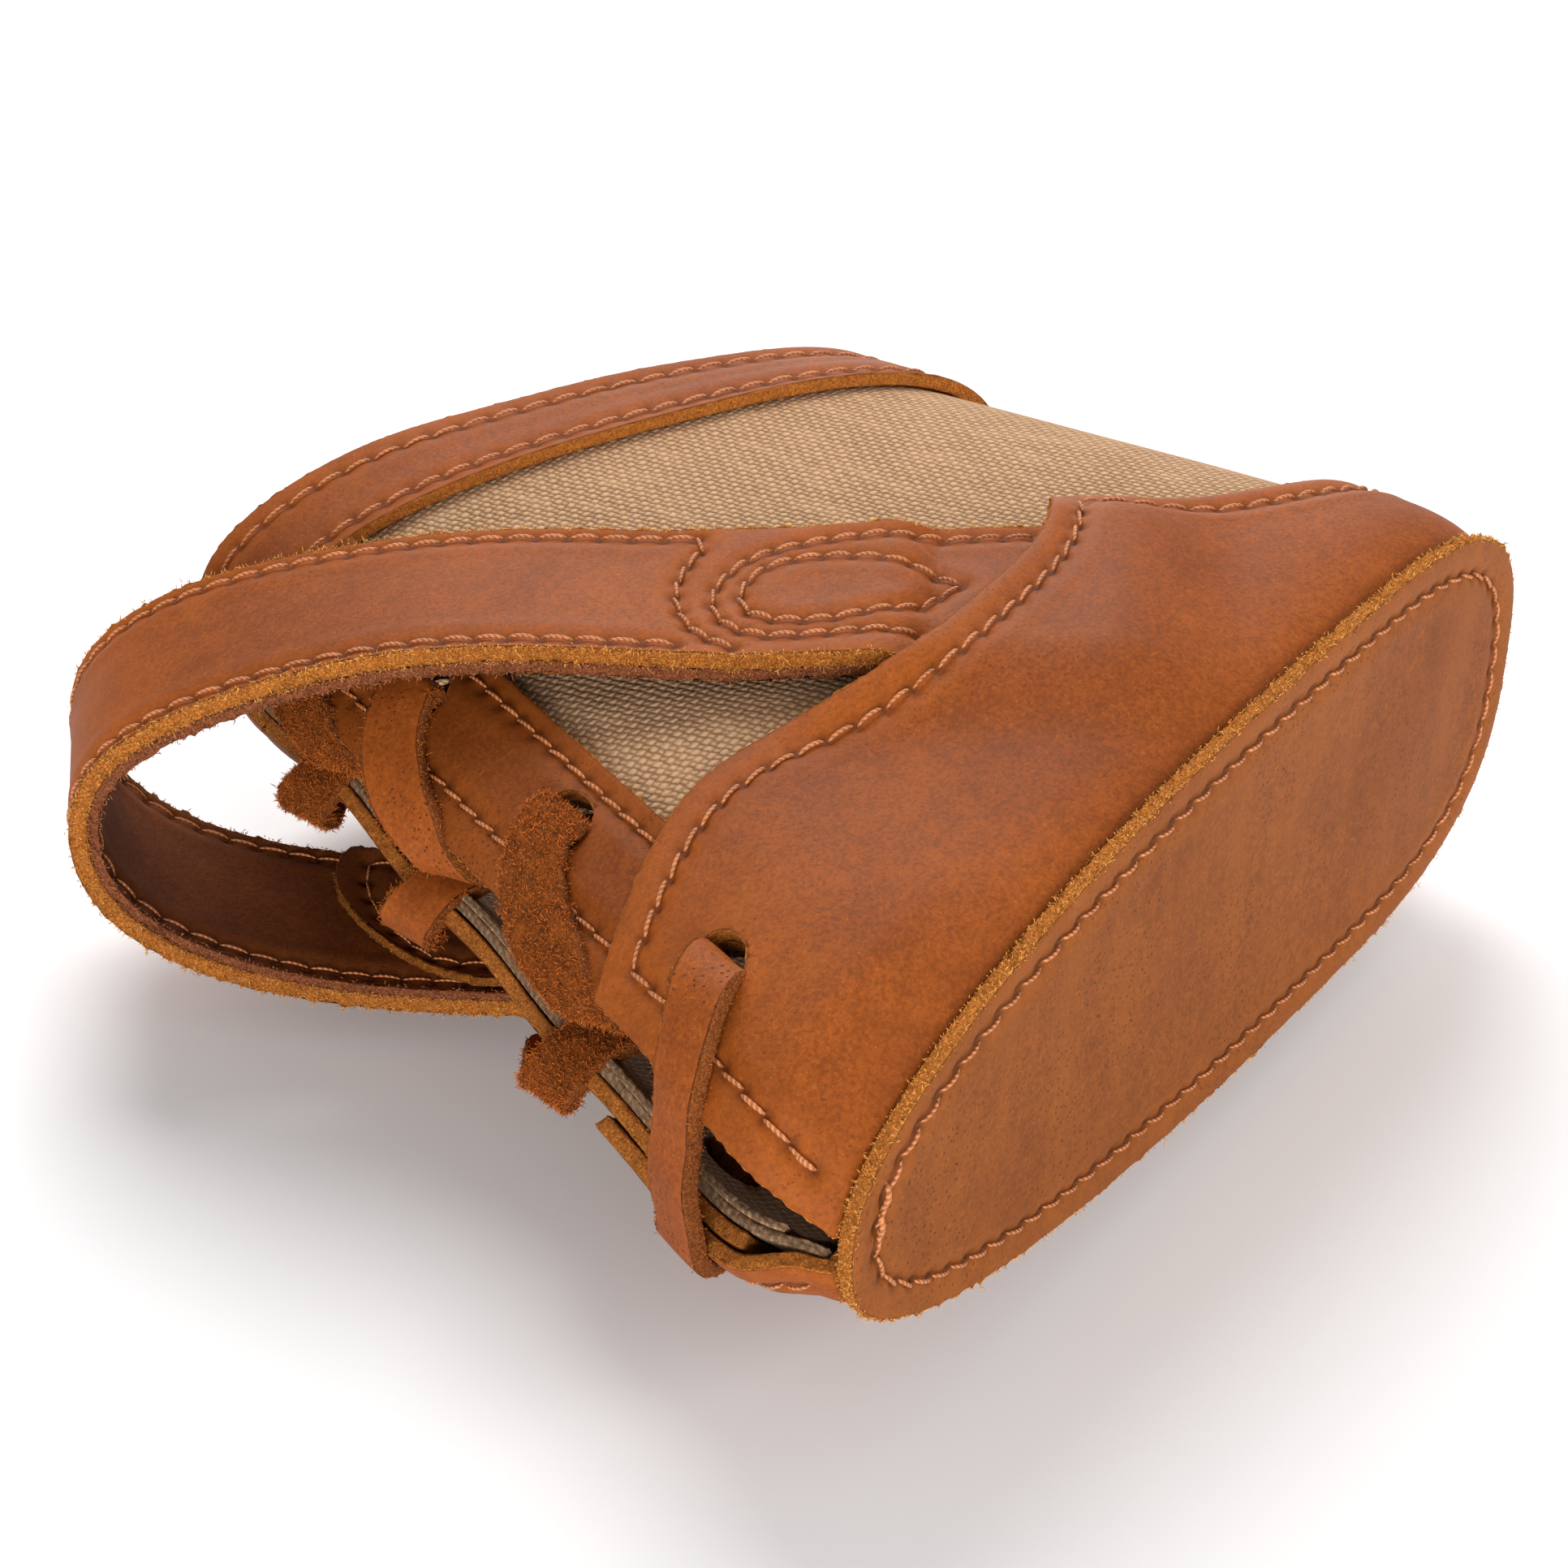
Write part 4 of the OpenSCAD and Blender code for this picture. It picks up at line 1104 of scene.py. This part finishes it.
def build_cloth(sizes):
    """Canvas outside and lining inside: the sleeve's wall at two depths, with soft unevenness. The cloth
    coordinates are the signed distance round the sleeve from the heel, and the height."""
    canvas, lining = sizes.canvas * 1000, sizes.lining * 1000
    for name, off, thick, foot, back, node, finish, slot_name in (
        ("canvas_cloth", 0.0, canvas, CANVAS_FOOT, 0.3, "canvas_body", "canvas", "canvas"),
        ("lining_sheet", -canvas - 0.02, lining, LINING_FOOT, 0.0, "lining", "lining", "lining_cloth"),
    ):
        k, y, keep, _ = punch(*cloth_grid(1.15, foot, back), CLOTH_HOLE)
        p, n = sleeve(k, y, off)
        p = p + n * (0.12 * wobble(p, 30, 8))[..., None]
        faces = [grid_faces(*k.shape, keep=keep)]
        uv = (k * half_len(y), y)
        piece = leather_piece(name, p, n, faces, thick, finish, [], seed=11, uv=uv, rough=0.1)
        own(piece, "sleeve", slot_name, node)
        area, wide, tall = flat_size(p)
        area = min(round(area, 5), round(wide * tall, 5))


def boot_seams(side, pitch):
    """Seam inside the boot's upper edge, one beside the laced edge down to the base, and its doubled last
    stitches."""
    first = STITCH_IN / half_len(36)
    c = first + (1 - first) * np.linspace(0, 1, 400)
    y = boot_edge_c(c) - STITCH_IN
    k = side * (1 - c)
    lines = [Seam(*sleeve(k, y, boot_lift(1 - np.abs(k), y) + 1.8), pitch)]
    y = np.linspace(y[0], 5.4, 120)
    c = STITCH_IN / half_len(y)
    p, n = sleeve(side * (1 - c), y, boot_lift(c, y) + 1.8)
    return lines + [Seam(p, n, pitch)], Seam(p[-10:], n[-10:], 2.6, 1.5, 0.2)


def build_boot(sizes):
    """Boot: the wall from the turned-in foot to the shaped upper edge, climbing over what lies under it."""
    thick, cell, pitch = sizes.hide * 1000, sizes.cell * 1000, sizes.pitch * 1000
    columns, rows = int(2 * half_len(20) / cell), int(34 / cell)
    foot = PANEL_T + 0.05
    turned = np.array([-6.0, -4.2, -2.4, -1.2, -0.4])
    k, v = np.meshgrid(np.linspace(-1, 1, columns), np.concatenate([0 * turned, np.linspace(0, 1, rows)]))
    c = 1 - np.abs(k)
    y = foot + (boot_edge_c(c) - foot) * v
    y[len(turned)] += 0.35
    k, y, keep, rim = punch(k, y, BOOT_HOLE)
    c = 1 - np.abs(k)
    inward = np.concatenate([turned, np.zeros(rows)])[:, None]
    p = sleeve(k, y, boot_lift(c, y) + thick + inward)[0]
    n = grid_normals(p)
    n *= np.sign((n * sleeve(k, y, 0)[1]).sum())
    p = p + n * (0.16 * wobble(p, 24, 2))[..., None]
    upper, tack = boot_seams(-1, pitch)
    lower, _ = boot_seams(1, pitch)
    wear = edge_wear(boot_edge_c(c) - y, 2.0) + edge_wear(c * half_len(y), 2.5)
    wear = wear + 1.3 * edge_wear(rim, 4.5) + 0.5 * edge_wear(y - foot, 5)
    faces = [grid_faces(*k.shape, keep=keep)]
    piece = leather_piece("boot_leather", p, n, faces, thick, "leather", upper + lower, wear, 4)
    own(piece, "sleeve", "leather", "boot")
    for name, seams in (("a", upper + [tack]), ("b", lower)):
        thread = sewing(f"boot_thread_{name}", seams, sizes.thread * 1060)
        own(thread, "sleeve", "thread", f"boot_stitching_{name}")


def build_mouth_band(sizes):
    """Band round the mouth, between its lower edge and the rim."""
    thick, cell = sizes.hide * 1000, sizes.cell * 1000 * 1.1
    columns, rows = int(2 * half_len(100) / cell), int(15 / cell)
    k, v = np.meshgrid(np.linspace(-1, 1, columns), np.linspace(0, 1, rows))
    low, high = band_low_c(1 - np.abs(k)), rim_c(1 - np.abs(k))
    y = low * (1 - v) + high * v
    p, n = sleeve(k, y, LAYER_GAP + thick)
    p = p + n * (0.15 * wobble(p, 26, 3))[..., None]
    end = 1 - STITCH_IN / half_len(100)
    at = np.linspace(-end, end, 900)
    seams = [
        Seam(*sleeve(at, line(1 - np.abs(at)) - inset, LAYER_GAP + thick), sizes.pitch * 1100)
        for line, inset in ((rim_c, 3.0), (band_low_c, -2.5))
    ]
    wear = edge_wear(y - low, 1.8) + edge_wear(high - y, 1.8)
    faces = [grid_faces(*k.shape)]
    piece = leather_piece("mouth_band_leather", p, n, faces, thick, "leather", seams, wear, 5)
    own(piece, "sleeve", "leather", "mouth_band")
    own(sewing("mouth_thread", seams, sizes.thread * 1000), "sleeve", "thread", "mouth_stitching")


def build_facings(sizes):
    """Facing strips beside the lacing: the wall from the laced edge to the facing's width."""
    thick, cell = sizes.hide * 1000, sizes.cell * 1000
    off = LAYER_GAP + thick
    columns, rows = int(FACING_W / cell), int(101 / cell)
    for side, name in ((-1, "a"), (1, "b")):
        s, v = np.meshgrid(np.linspace(0, FACING_W, columns), np.linspace(0, 1, rows))
        top = band_low_c(s / half_len(110)) - 0.1
        y = FACING_FOOT + (top - FACING_FOOT) * v
        k = side * (1 - s / half_len(y))
        k, y, keep, rim = punch(k, y, FACING_HOLE)
        p, n = sleeve(k, y, off)
        p = p + n * (0.12 * wobble(p, 20, 6))[..., None]
        seams = []
        for inset in (STITCH_IN, FACING_W - 2.5):
            at = np.full(400, inset)
            low = boot_edge_c(at / half_len(40)) + 1.0
            high = band_low_c(at / half_len(110)) - 1.0
            up = low + (high - low) * np.linspace(0, 1, 400)
            seams.append(Seam(*sleeve(side * (1 - at / half_len(up)), up, off), sizes.pitch * 1000))
        wear = edge_wear(s, 2.0) + edge_wear(FACING_W - s, 1.6) + 0.9 * edge_wear(rim, 3.0)
        faces = [grid_faces(*k.shape, keep=keep)]
        piece = leather_piece(f"facing_leather_{name}", p, n, faces, thick, "facing", seams, wear, 6)
        own(piece, "sleeve", "leather", f"facing_{name}")
        thread = sewing(f"facing_thread_{name}", seams, sizes.thread * 1000)
        own(thread, "sleeve", "thread", f"facing_stitching_{name}")


def strap_line(places, up, pitch, mirrored):
    """Seam through places (along, across) on a sewn strap end, on the upper side or mirrored to the lower
    one."""
    c = smooth_curve(places, 300)
    p, n = strap_at(leg_run(c[:, 0], mirrored), c[:, 1], up)
    return Seam(p, n, pitch, 1.0, 0.22)


ARC = [(6.2, 11.0), (5.6, 8.6), (7.0, 4.7), (7.7, 0.5), (7.3, -2.5), (6.0, -6.4), (3.4, -9.2), (0.4, -11.0)]
ROUND_LINE = [
    (-29.9, 13.2), (-23.3, 12.9), (-14.6, 11.4), (-5.9, 9.3), (0.0, 6.3), (3.0, 1.6),
    (3.4, -2.8), (1.6, -6.6), (-2.4, -8.7), (-7.4, -8.9), (-14.1, -8.2), (-22.0, -7.6),
]
DROP = [
    (-22.6, 2.6), (-18.5, 4.8), (-13.2, 6.2), (-7.0, 6.4), (-1.9, 4.6), (0.5, 0.1),
    (-0.3, -4.0), (-4.0, -6.0), (-9.8, -5.9), (-15.5, -3.6), (-19.6, -0.7), (-22.6, 2.4),
]
EDGE_LINE = 10.7


def build_strap(sizes):
    """Strap of two leathers running from one sewn end, round the loop, to the other, with its sewing."""
    face, inner, cell = sizes.strap_face * 1000, sizes.strap_inner * 1000, sizes.cell * 1000
    top, pitch = inner + face, sizes.pitch * 1000
    lengths, widths = int(STRAP_END / cell), int(STRAP_W / cell)
    q, v = np.meshgrid(np.linspace(0, STRAP_END, lengths), np.linspace(0, 1, widths), indexing="ij")
    place = np.interp(q, STRAP_RUN, STRAP_PATH[:, 0])
    far = STRAP_W / 2 + 2.8 * ramp((-4 - place) / 22)
    w = -STRAP_W / 2 + (far + STRAP_W / 2) * v
    start = leg_run(6.5)
    run = np.linspace(start, STRAP_END - start, 900)
    edges, inside = [], []
    for side in (1, -1):
        at = np.full_like(run, side * EDGE_LINE)
        edges.append(Seam(*strap_at(run, at, top), pitch, slant=0.2 * side))
        a, b = strap_at(run, at, 0.0)
        inside.append(Seam(a, -b, pitch, 0.7, 0.1))
    ends = [
        strap_line(c, top, pitch * 0.92, mirrored)
        for mirrored in (False, True)
        for c in (ARC, ROUND_LINE, DROP)
    ]
    p, n = strap_at(q, w, top)
    p = p + n * (0.14 * wobble(p, 28, 9))[..., None]
    wear = edge_wear(np.minimum(w + STRAP_W / 2, far - w), 1.8) + 0.55 * ramp((place - 58) / 14)
    faces, name = [grid_faces(*q.shape)], "strap_face_leather"
    leather = leather_piece(
        name, p, n, faces, face + 0.15, "strap", edges + ends, wear, 7, rough=0.2, corner=0.2
    )
    over_joint(leather, "leather", "strap_face_end_a", "strap_face_end_b", "strap_face_loop")
    over_joint(fibres_on(leather, "strap_face_fibres", 19000, 0.66, "edge_fibre"), "leather")

    p, n = strap_at(q, w * 0.996, 0.0)
    name = "strap_inner_leather"
    layer = leather_piece(
        name, p, -n, faces, inner, "inner", inside, wear * 0.2, 8, rough=0.2, corner=0.15
    )
    over_joint(layer, "inner_leather", "strap_inner_end_a", "strap_inner_end_b", "strap_inner_loop")
    over_joint(fibres_on(layer, "strap_inner_fibres", 11000, 0.66, "inner_fibre"), "inner_leather")

    thread = sewing("strap_thread", edges + inside + ends, sizes.thread * 1000)
    over_joint(thread, "thread", "strap_stitching_loop", "strap_stitching_a", "strap_stitching_b")
    build_tabs(sizes)


def tab_half(s, reach):
    """Half width of the tab's outline: a quarter ellipse past the start of the rounding."""
    share = np.maximum(s - TAB_ROUND, 0) / (reach - TAB_ROUND)
    return TAB_HALF * np.sqrt(np.maximum(1 - share**2, 0.0))


def build_tabs(sizes):
    """Rounded tabs inside the loop, lying against the strap's inside on the upper and the lower leg."""
    thick, rest = sizes.tab * 1000, -0.12
    s = -14 + (TAB_REACH + 14 - 0.02) * np.sin(np.linspace(0, 1, 130) * np.pi / 2) ** 0.9
    half = tab_half(s, TAB_REACH)
    high = np.minimum(TAB_MID + half, STRAP_W / 2 - 0.6)
    turn = np.sin(np.linspace(0.02, np.pi / 2, 60))
    seam_end = TAB_REACH - TAB_SEAM_IN
    seam_s = np.concatenate([np.linspace(0, TAB_ROUND, 20), TAB_ROUND + (seam_end - TAB_ROUND) * turn])
    seam_half = tab_half(seam_s, seam_end)
    near = np.minimum(TAB_MID + seam_half, TAB_SEAM_HALF)
    far = np.maximum(TAB_MID - seam_half, -TAB_SEAM_HALF)
    seam_s, seam_w = np.concatenate([seam_s, seam_s[::-1]]), np.concatenate([near, far[::-1]])
    for name, mirrored, room in (("a", False, 2.0), ("b", True, 0.6)):
        low = np.maximum(TAB_MID - half, -STRAP_W / 2 + room)
        w = low[:, None] + (high - low)[:, None] * np.linspace(0, 1, 44)[None]
        p, n = strap_at(leg_run(s[:, None] + 0 * w, mirrored), w, rest)
        a, b = strap_at(leg_run(seam_s, mirrored), seam_w, rest - thick)
        seam = Seam(a, -b, sizes.pitch * 1000, 0.8, 0.1)
        faces = [grid_faces(*w.shape)]
        name_of = f"tab_leather_{name}"
        piece = leather_piece(name_of, p - n * thick, -n, faces, thick, "tab", [seam], None, 9, rough=0.2)
        over_joint(piece, "inner_leather", f"tab_root_{name}", f"tab_tip_{name}")
        over_joint(sewing(f"tab_thread_{name}", [seam], sizes.thread * 850), "thread")


def lace_strip(name, path, across, sizes, grain_up, seed):
    """Flat lace carried along a path: its section is a rectangle with round corners, slightly cupped, and
    its width follows the given directions, less their part along the path."""
    rng = np.random.default_rng(seed)
    count = max(int(running(smooth_curve(path, 200))[-1] / LACE_STEP), 12)
    centre = smooth_curve(path, count)
    lead = unit(np.gradient(centre, axis=0))
    wide = smooth_curve(across, count)
    wide = unit(wide - (wide * lead).sum(1, keepdims=True) * lead)
    up = np.cross(wide, lead)
    half, thick, r = sizes.lace_width * 1000 / 2, sizes.lace_thick * 1000 / 2, LACE_CORNER
    flat = [(x, thick) for x in np.linspace(-half + r, half - r, 13)]
    corner = np.radians([15, 50, 85])
    right = [(half - r + r * math.cos(a), thick - r + r * math.sin(a)) for a in corner[::-1]]
    upper = flat + right + [(half, 0.0)]
    lower = [(x, -z) for x, z in upper[::-1][1:]]
    left = [(-x, -z) for x, z in right] + [(-half, 0.0)] + [(-x, z) for x, z in right[::-1]]
    a, h = np.array(upper + lower + left).T
    side = np.abs(a) > half - 0.30
    noise = rng.normal(size=(count, len(a))) * 0.10
    swell = 1 + 0.05 * np.sin(np.linspace(0, 9, count) + seed)[:, None]
    sway = a[None] * swell + np.sign(a)[None] * side[None] * noise
    z = h[None] - 0.2 * (a[None] / half) ** 2 + side[None] * noise * 0.5
    p = centre[:, None] + wide[:, None] * sway[..., None] + up[:, None] * z[..., None]
    m, c = p.shape[:2]
    faces = grid_faces(m, c, wrap=True)
    caps = np.stack([np.arange(c)[::-1], np.arange(c) + (m - 1) * c])
    grain = (h > 0) if grain_up else (h < 0)
    worn = 0.35 * np.exp(-(((half - np.abs(a)) / 0.9) ** 2))
    marks = {
        "edge": np.tile(np.where(side, 1.0, 0.0), m),
        "flesh": np.tile(np.where(side | grain, 0.0, 1.0), m),
        "wear": np.tile(np.where(side, 0, worn), m),
        "hole": np.zeros(m * c),
    }
    probe = np.cross(p[m // 2 + 1, 3] - p[m // 2, 3], p[m // 2, 4] - p[m // 2, 3])
    if (probe * up[m // 2]).sum() < 0:
        faces, caps = faces[:, ::-1], caps[:, ::-1]
    return write_mesh(name, p.reshape(-1, 3), [faces, caps], MATERIALS["lace"], marks)


def beside(s, y, off, side=-1):
    """Place on the wall at distance s from the laced edge, at height y and a distance off the wall."""
    s, y = np.asarray(s, float), np.asarray(y, float)
    return sleeve(side * (1 - s / half_len(y)), y, off)[0]


def lace_bar(y):
    """Bar of lace: out of the lowest upper hole, down across the gap and into the hole below."""
    bar = [beside(10, y, -3), beside(10.2, y, 3.4), beside(7.7, y - 1.0, 5.8)]
    bar += [beside(4, y - 2.6, 5.8), beside(0.5, y - 3.9, 5.0)]
    lower = beside(0.5, y - 4.6, 5.0, 1)
    middle = (bar[-1] + lower) / 2 + [-1.5, 0, 0]
    bar += [bar[-1] + [-0.8, -0.3, -4.5], middle, lower + [-0.8, 0, 3.5], lower]
    bar += [beside(4, y - 3.2, 5.2, 1), beside(7.5, y - 1.4, 5.4, 1)]
    return bar + [beside(10.2, y, 3.2, 1), beside(10, y, -3, 1)]


def lace_crossing(y, sign):
    """Crossing at the hole of height y: its path over the lip and the outward direction at each of its
    points."""
    curl = [(10, 0, -4), (10.2, 0, 2.6), (8.0, 0.4, 3.9), (4.0, -1.6, 3.9), (1.2, -5.8, 3.8)]
    up = [[-0.6, 0.2, 0.8], [-0.5, 0, 0.9], [-0.5, 0, 0.9], [-0.55, 0, 0.85]]
    if sign > 0:
        e = beside(0, y - 10.2, 2.4)
        turn = [[-0.6, 0, 0.0], [-1.0, -2.8, -2.4], [0.8, -4.9, -4.6], [5, -6.2, -5.6]]
        up += [[-0.65, 0, 0.75], [-0.9, 0, 0.4], [-1, 0, -0.1], [-0.7, 0, -0.7], [-0.2, 0, -1]]
    else:
        curl = curl[:3] + [(3, -5.5, 3.6)]
        e = beside(0, y - 8, 2.6)
        turn = [[-1.4, 0, -0.2], [-1.6, -1.5, -3.0], [1.2, -2.6, -5.0], [6, -4.0, -5.2], [11, -5.4, -4.2]]
        up += [[-0.9, 0, 0.3], [-0.8, 0, -0.6], [-0.3, 0, -1], [0, 0, -1], [0.1, 0, -1]]
    path = [beside(a, y + b, off) for a, b, off in curl] + [e + v for v in turn]
    flip = np.array([1, 1, sign])
    return np.array(path) * flip, np.array(up) * flip


def build_laces(sizes):
    """Lace: a bar over the lowest holes, and crossings that come out of a hole, over the lip and in at
    the gap."""
    heights, _ = hole_list()
    bar = lace_bar(heights[0])
    strip = lace_strip("lace_bar_strip", bar, [[0.38, 1, 0]] * len(bar), sizes, True, 2)
    own(strip, "sleeve", "lace_leather", "lace_bar")
    own(fibres_on(strip, "lace_bar_fibres", 1500, 0.4, "suede_fibre"), "sleeve", "lace_leather")
    for side, name, sign in ((-1, "a", 1), (1, "b", -1)):
        for i in (1, 2, 3):
            path, up = lace_crossing(heights[i], sign)
            across = unit(np.cross(unit(np.gradient(path, axis=0)), up))
            key = f"lace_{name}{i}"
            piece = lace_strip(key, path, across, sizes, i == 2, 20 + i + 5 * side)
            own(piece, "sleeve", "lace_leather", *([f"lace_over_{name}"] if i == 1 else []))
            hair = fibres_on(piece, key + "_edge_fibres", 1500, 0.7, "suede_fibre", "edge", i)
            own(hair, "sleeve", "lace_leather")
            if i != 2:
                hair = fibres_on(piece, key + "_nap", 5200, 0.7, "suede_fibre", "flesh", i)
                own(hair, "sleeve", "lace_leather")


# ---- operators and panel ---------------------------------------------------------------


def turned_to(x, y, z, place):
    """Matrix of an object whose own axes point along x, y and z."""
    return Matrix([(x[i], y[i], z[i], place[i]) for i in range(3)] + [(0, 0, 0, 1)])


class SLEEVE_OT_materials(bpy.types.Operator):
    """Makes the leathers, cloths and thread from the chosen colours"""

    bl_idname = "sleeve.materials"
    bl_label = "Materials"

    def execute(self, context):
        make_materials(context.scene.sleeve_colours, context.scene.sleeve_sizes)
        return {"FINISHED"}


class SLEEVE_OT_base(bpy.types.Operator):
    """Builds the base panel, its seam and the pad inside"""

    bl_idname = "sleeve.base"
    bl_label = "Base"

    def execute(self, context):
        build_base_panel(context.scene.sleeve_sizes)
        build_pad(context.scene.sleeve_sizes)
        return {"FINISHED"}


class SLEEVE_OT_cloth(bpy.types.Operator):
    """Builds the canvas and the lining"""

    bl_idname = "sleeve.cloth"
    bl_label = "Canvas and lining"

    def execute(self, context):
        build_cloth(context.scene.sleeve_sizes)
        return {"FINISHED"}


class SLEEVE_OT_boot(bpy.types.Operator):
    """Builds the boot round the base and its seams"""

    bl_idname = "sleeve.boot"
    bl_label = "Boot"

    def execute(self, context):
        build_boot(context.scene.sleeve_sizes)
        return {"FINISHED"}


class SLEEVE_OT_band(bpy.types.Operator):
    """Builds the band round the mouth and its seams"""

    bl_idname = "sleeve.band"
    bl_label = "Mouth band"

    def execute(self, context):
        build_mouth_band(context.scene.sleeve_sizes)
        return {"FINISHED"}


class SLEEVE_OT_facings(bpy.types.Operator):
    """Builds the two facings beside the lacing"""

    bl_idname = "sleeve.facings"
    bl_label = "Facings"

    def execute(self, context):
        build_facings(context.scene.sleeve_sizes)
        return {"FINISHED"}


class SLEEVE_OT_strap(bpy.types.Operator):
    """Builds the loop strap, its tabs and its sewing"""

    bl_idname = "sleeve.strap"
    bl_label = "Strap"

    def execute(self, context):
        build_strap(context.scene.sleeve_sizes)
        return {"FINISHED"}


class SLEEVE_OT_laces(bpy.types.Operator):
    """Builds the lace crossings"""

    bl_idname = "sleeve.laces"
    bl_label = "Laces"

    def execute(self, context):
        build_laces(context.scene.sleeve_sizes)
        return {"FINISHED"}


class SLEEVE_OT_stage(bpy.types.Operator):
    """Sets the pale floor, the soft lights and the camera"""

    bl_idname = "sleeve.stage"
    bl_label = "Stage"

    def execute(self, context):
        scene = context.scene
        mesh = bpy.data.meshes.new("floor")
        s = FLOOR_HALF
        mesh.from_pydata([(-s, -s, 0), (s, -s, 0), (s, s, 0), (-s, s, 0)], [], [(0, 1, 2, 3)])
        floor = bpy.data.objects.new("floor", mesh)
        scene.collection.objects.link(floor)
        tone = tuple(scene.sleeve_colours.floor)
        paper = Paint("floor_paper").finish(Base_Color=tone, Roughness=0.9, Specular_IOR_Level=0.1)
        mesh.materials.append(paper)

        camera_data = bpy.data.cameras.new("camera")
        camera_data.lens, camera_data.sensor_width = 75.86, 36.0
        camera_data.clip_start, camera_data.clip_end = 0.02, 20
        camera = bpy.data.objects.new("camera", camera_data)
        right = (0.58991, -0.80740, 0.01082)
        down = (-0.43811, -0.33129, -0.83565)
        ahead = (0.67829, 0.48821, -0.54916)
        place = (-0.253096, -0.190682, 0.230036)
        camera.matrix_world = turned_to(right, np.negative(down), np.negative(ahead), place)
        scene.collection.objects.link(camera)
        scene.camera = camera

        world = bpy.data.worlds.new("studio")
        scene.world = world
        world.use_nodes = True
        back = world.node_tree.nodes["Background"]
        back.inputs["Color"].default_value = (1.0, 1.0, 1.0, 1)
        back.inputs["Strength"].default_value = 0.38
        for name, spot, aim, size, power in (
            ("key", (0.48, 0.50, 0.95), (0, 0, 0.02), 0.8, 11.0),
            ("rear", (0.90, 0.62, 0.34), (0, 0, 0.03), 0.7, 4.5),
            ("fill", (0.25, -1.05, 0.45), (0, 0, 0.02), 0.7, 6.0),
            ("side", (-0.93, -0.50, 0.26), (0, 0, 0.03), 0.6, 9.0),
        ):
            data = bpy.data.lights.new(name, "AREA")
            data.shape, data.size, data.energy = "DISK", size, power
            light = bpy.data.objects.new(name, data)
            z = unit(np.array(spot) - np.array(aim))
            x = unit(np.cross([0, 0, 1], z))
            light.matrix_world = turned_to(x, np.cross(z, x), z, spot)
            scene.collection.objects.link(light)
        scene.view_settings.view_transform = "Standard"
        return {"FINISHED"}


class SLEEVE_PT_panel(bpy.types.Panel):
    """Lists the sleeve's pieces, sizes and colours"""

    bl_label = "Laced sleeve"
    bl_idname = "SLEEVE_PT_panel"
    bl_space_type = "VIEW_3D"
    bl_region_type = "UI"
    bl_category = "Sleeve"

    def draw(self, context):
        for group in (context.scene.sleeve_sizes, context.scene.sleeve_colours):
            box = self.layout.box()
            for key in group.__annotations__:
                box.prop(group, key)
        for operator in OPERATORS:
            self.layout.operator(operator.bl_idname)


OPERATORS = (
    SLEEVE_OT_stage,
    SLEEVE_OT_materials,
    SLEEVE_OT_base,
    SLEEVE_OT_cloth,
    SLEEVE_OT_boot,
    SLEEVE_OT_band,
    SLEEVE_OT_facings,
    SLEEVE_OT_strap,
    SLEEVE_OT_laces,
)
CLASSES = (SleeveSizes, SleeveColours) + OPERATORS + (SLEEVE_PT_panel,)


def register():
    for cls in CLASSES:
        bpy.utils.register_class(cls)
    bpy.types.Scene.sleeve_sizes = PointerProperty(type=SleeveSizes)
    bpy.types.Scene.sleeve_colours = PointerProperty(type=SleeveColours)


def unregister():
    del bpy.types.Scene.sleeve_colours
    del bpy.types.Scene.sleeve_sizes
    for cls in reversed(CLASSES):
        bpy.utils.unregister_class(cls)


def main():
    """Builds everything in order."""
    register()
    bpy.ops.sleeve.stage()
    bpy.ops.sleeve.materials()
    bpy.ops.sleeve.base()
    bpy.ops.sleeve.cloth()
    bpy.ops.sleeve.boot()
    bpy.ops.sleeve.band()
    bpy.ops.sleeve.facings()
    bpy.ops.sleeve.strap()
    bpy.ops.sleeve.laces()


if __name__ == "__main__":
    main()
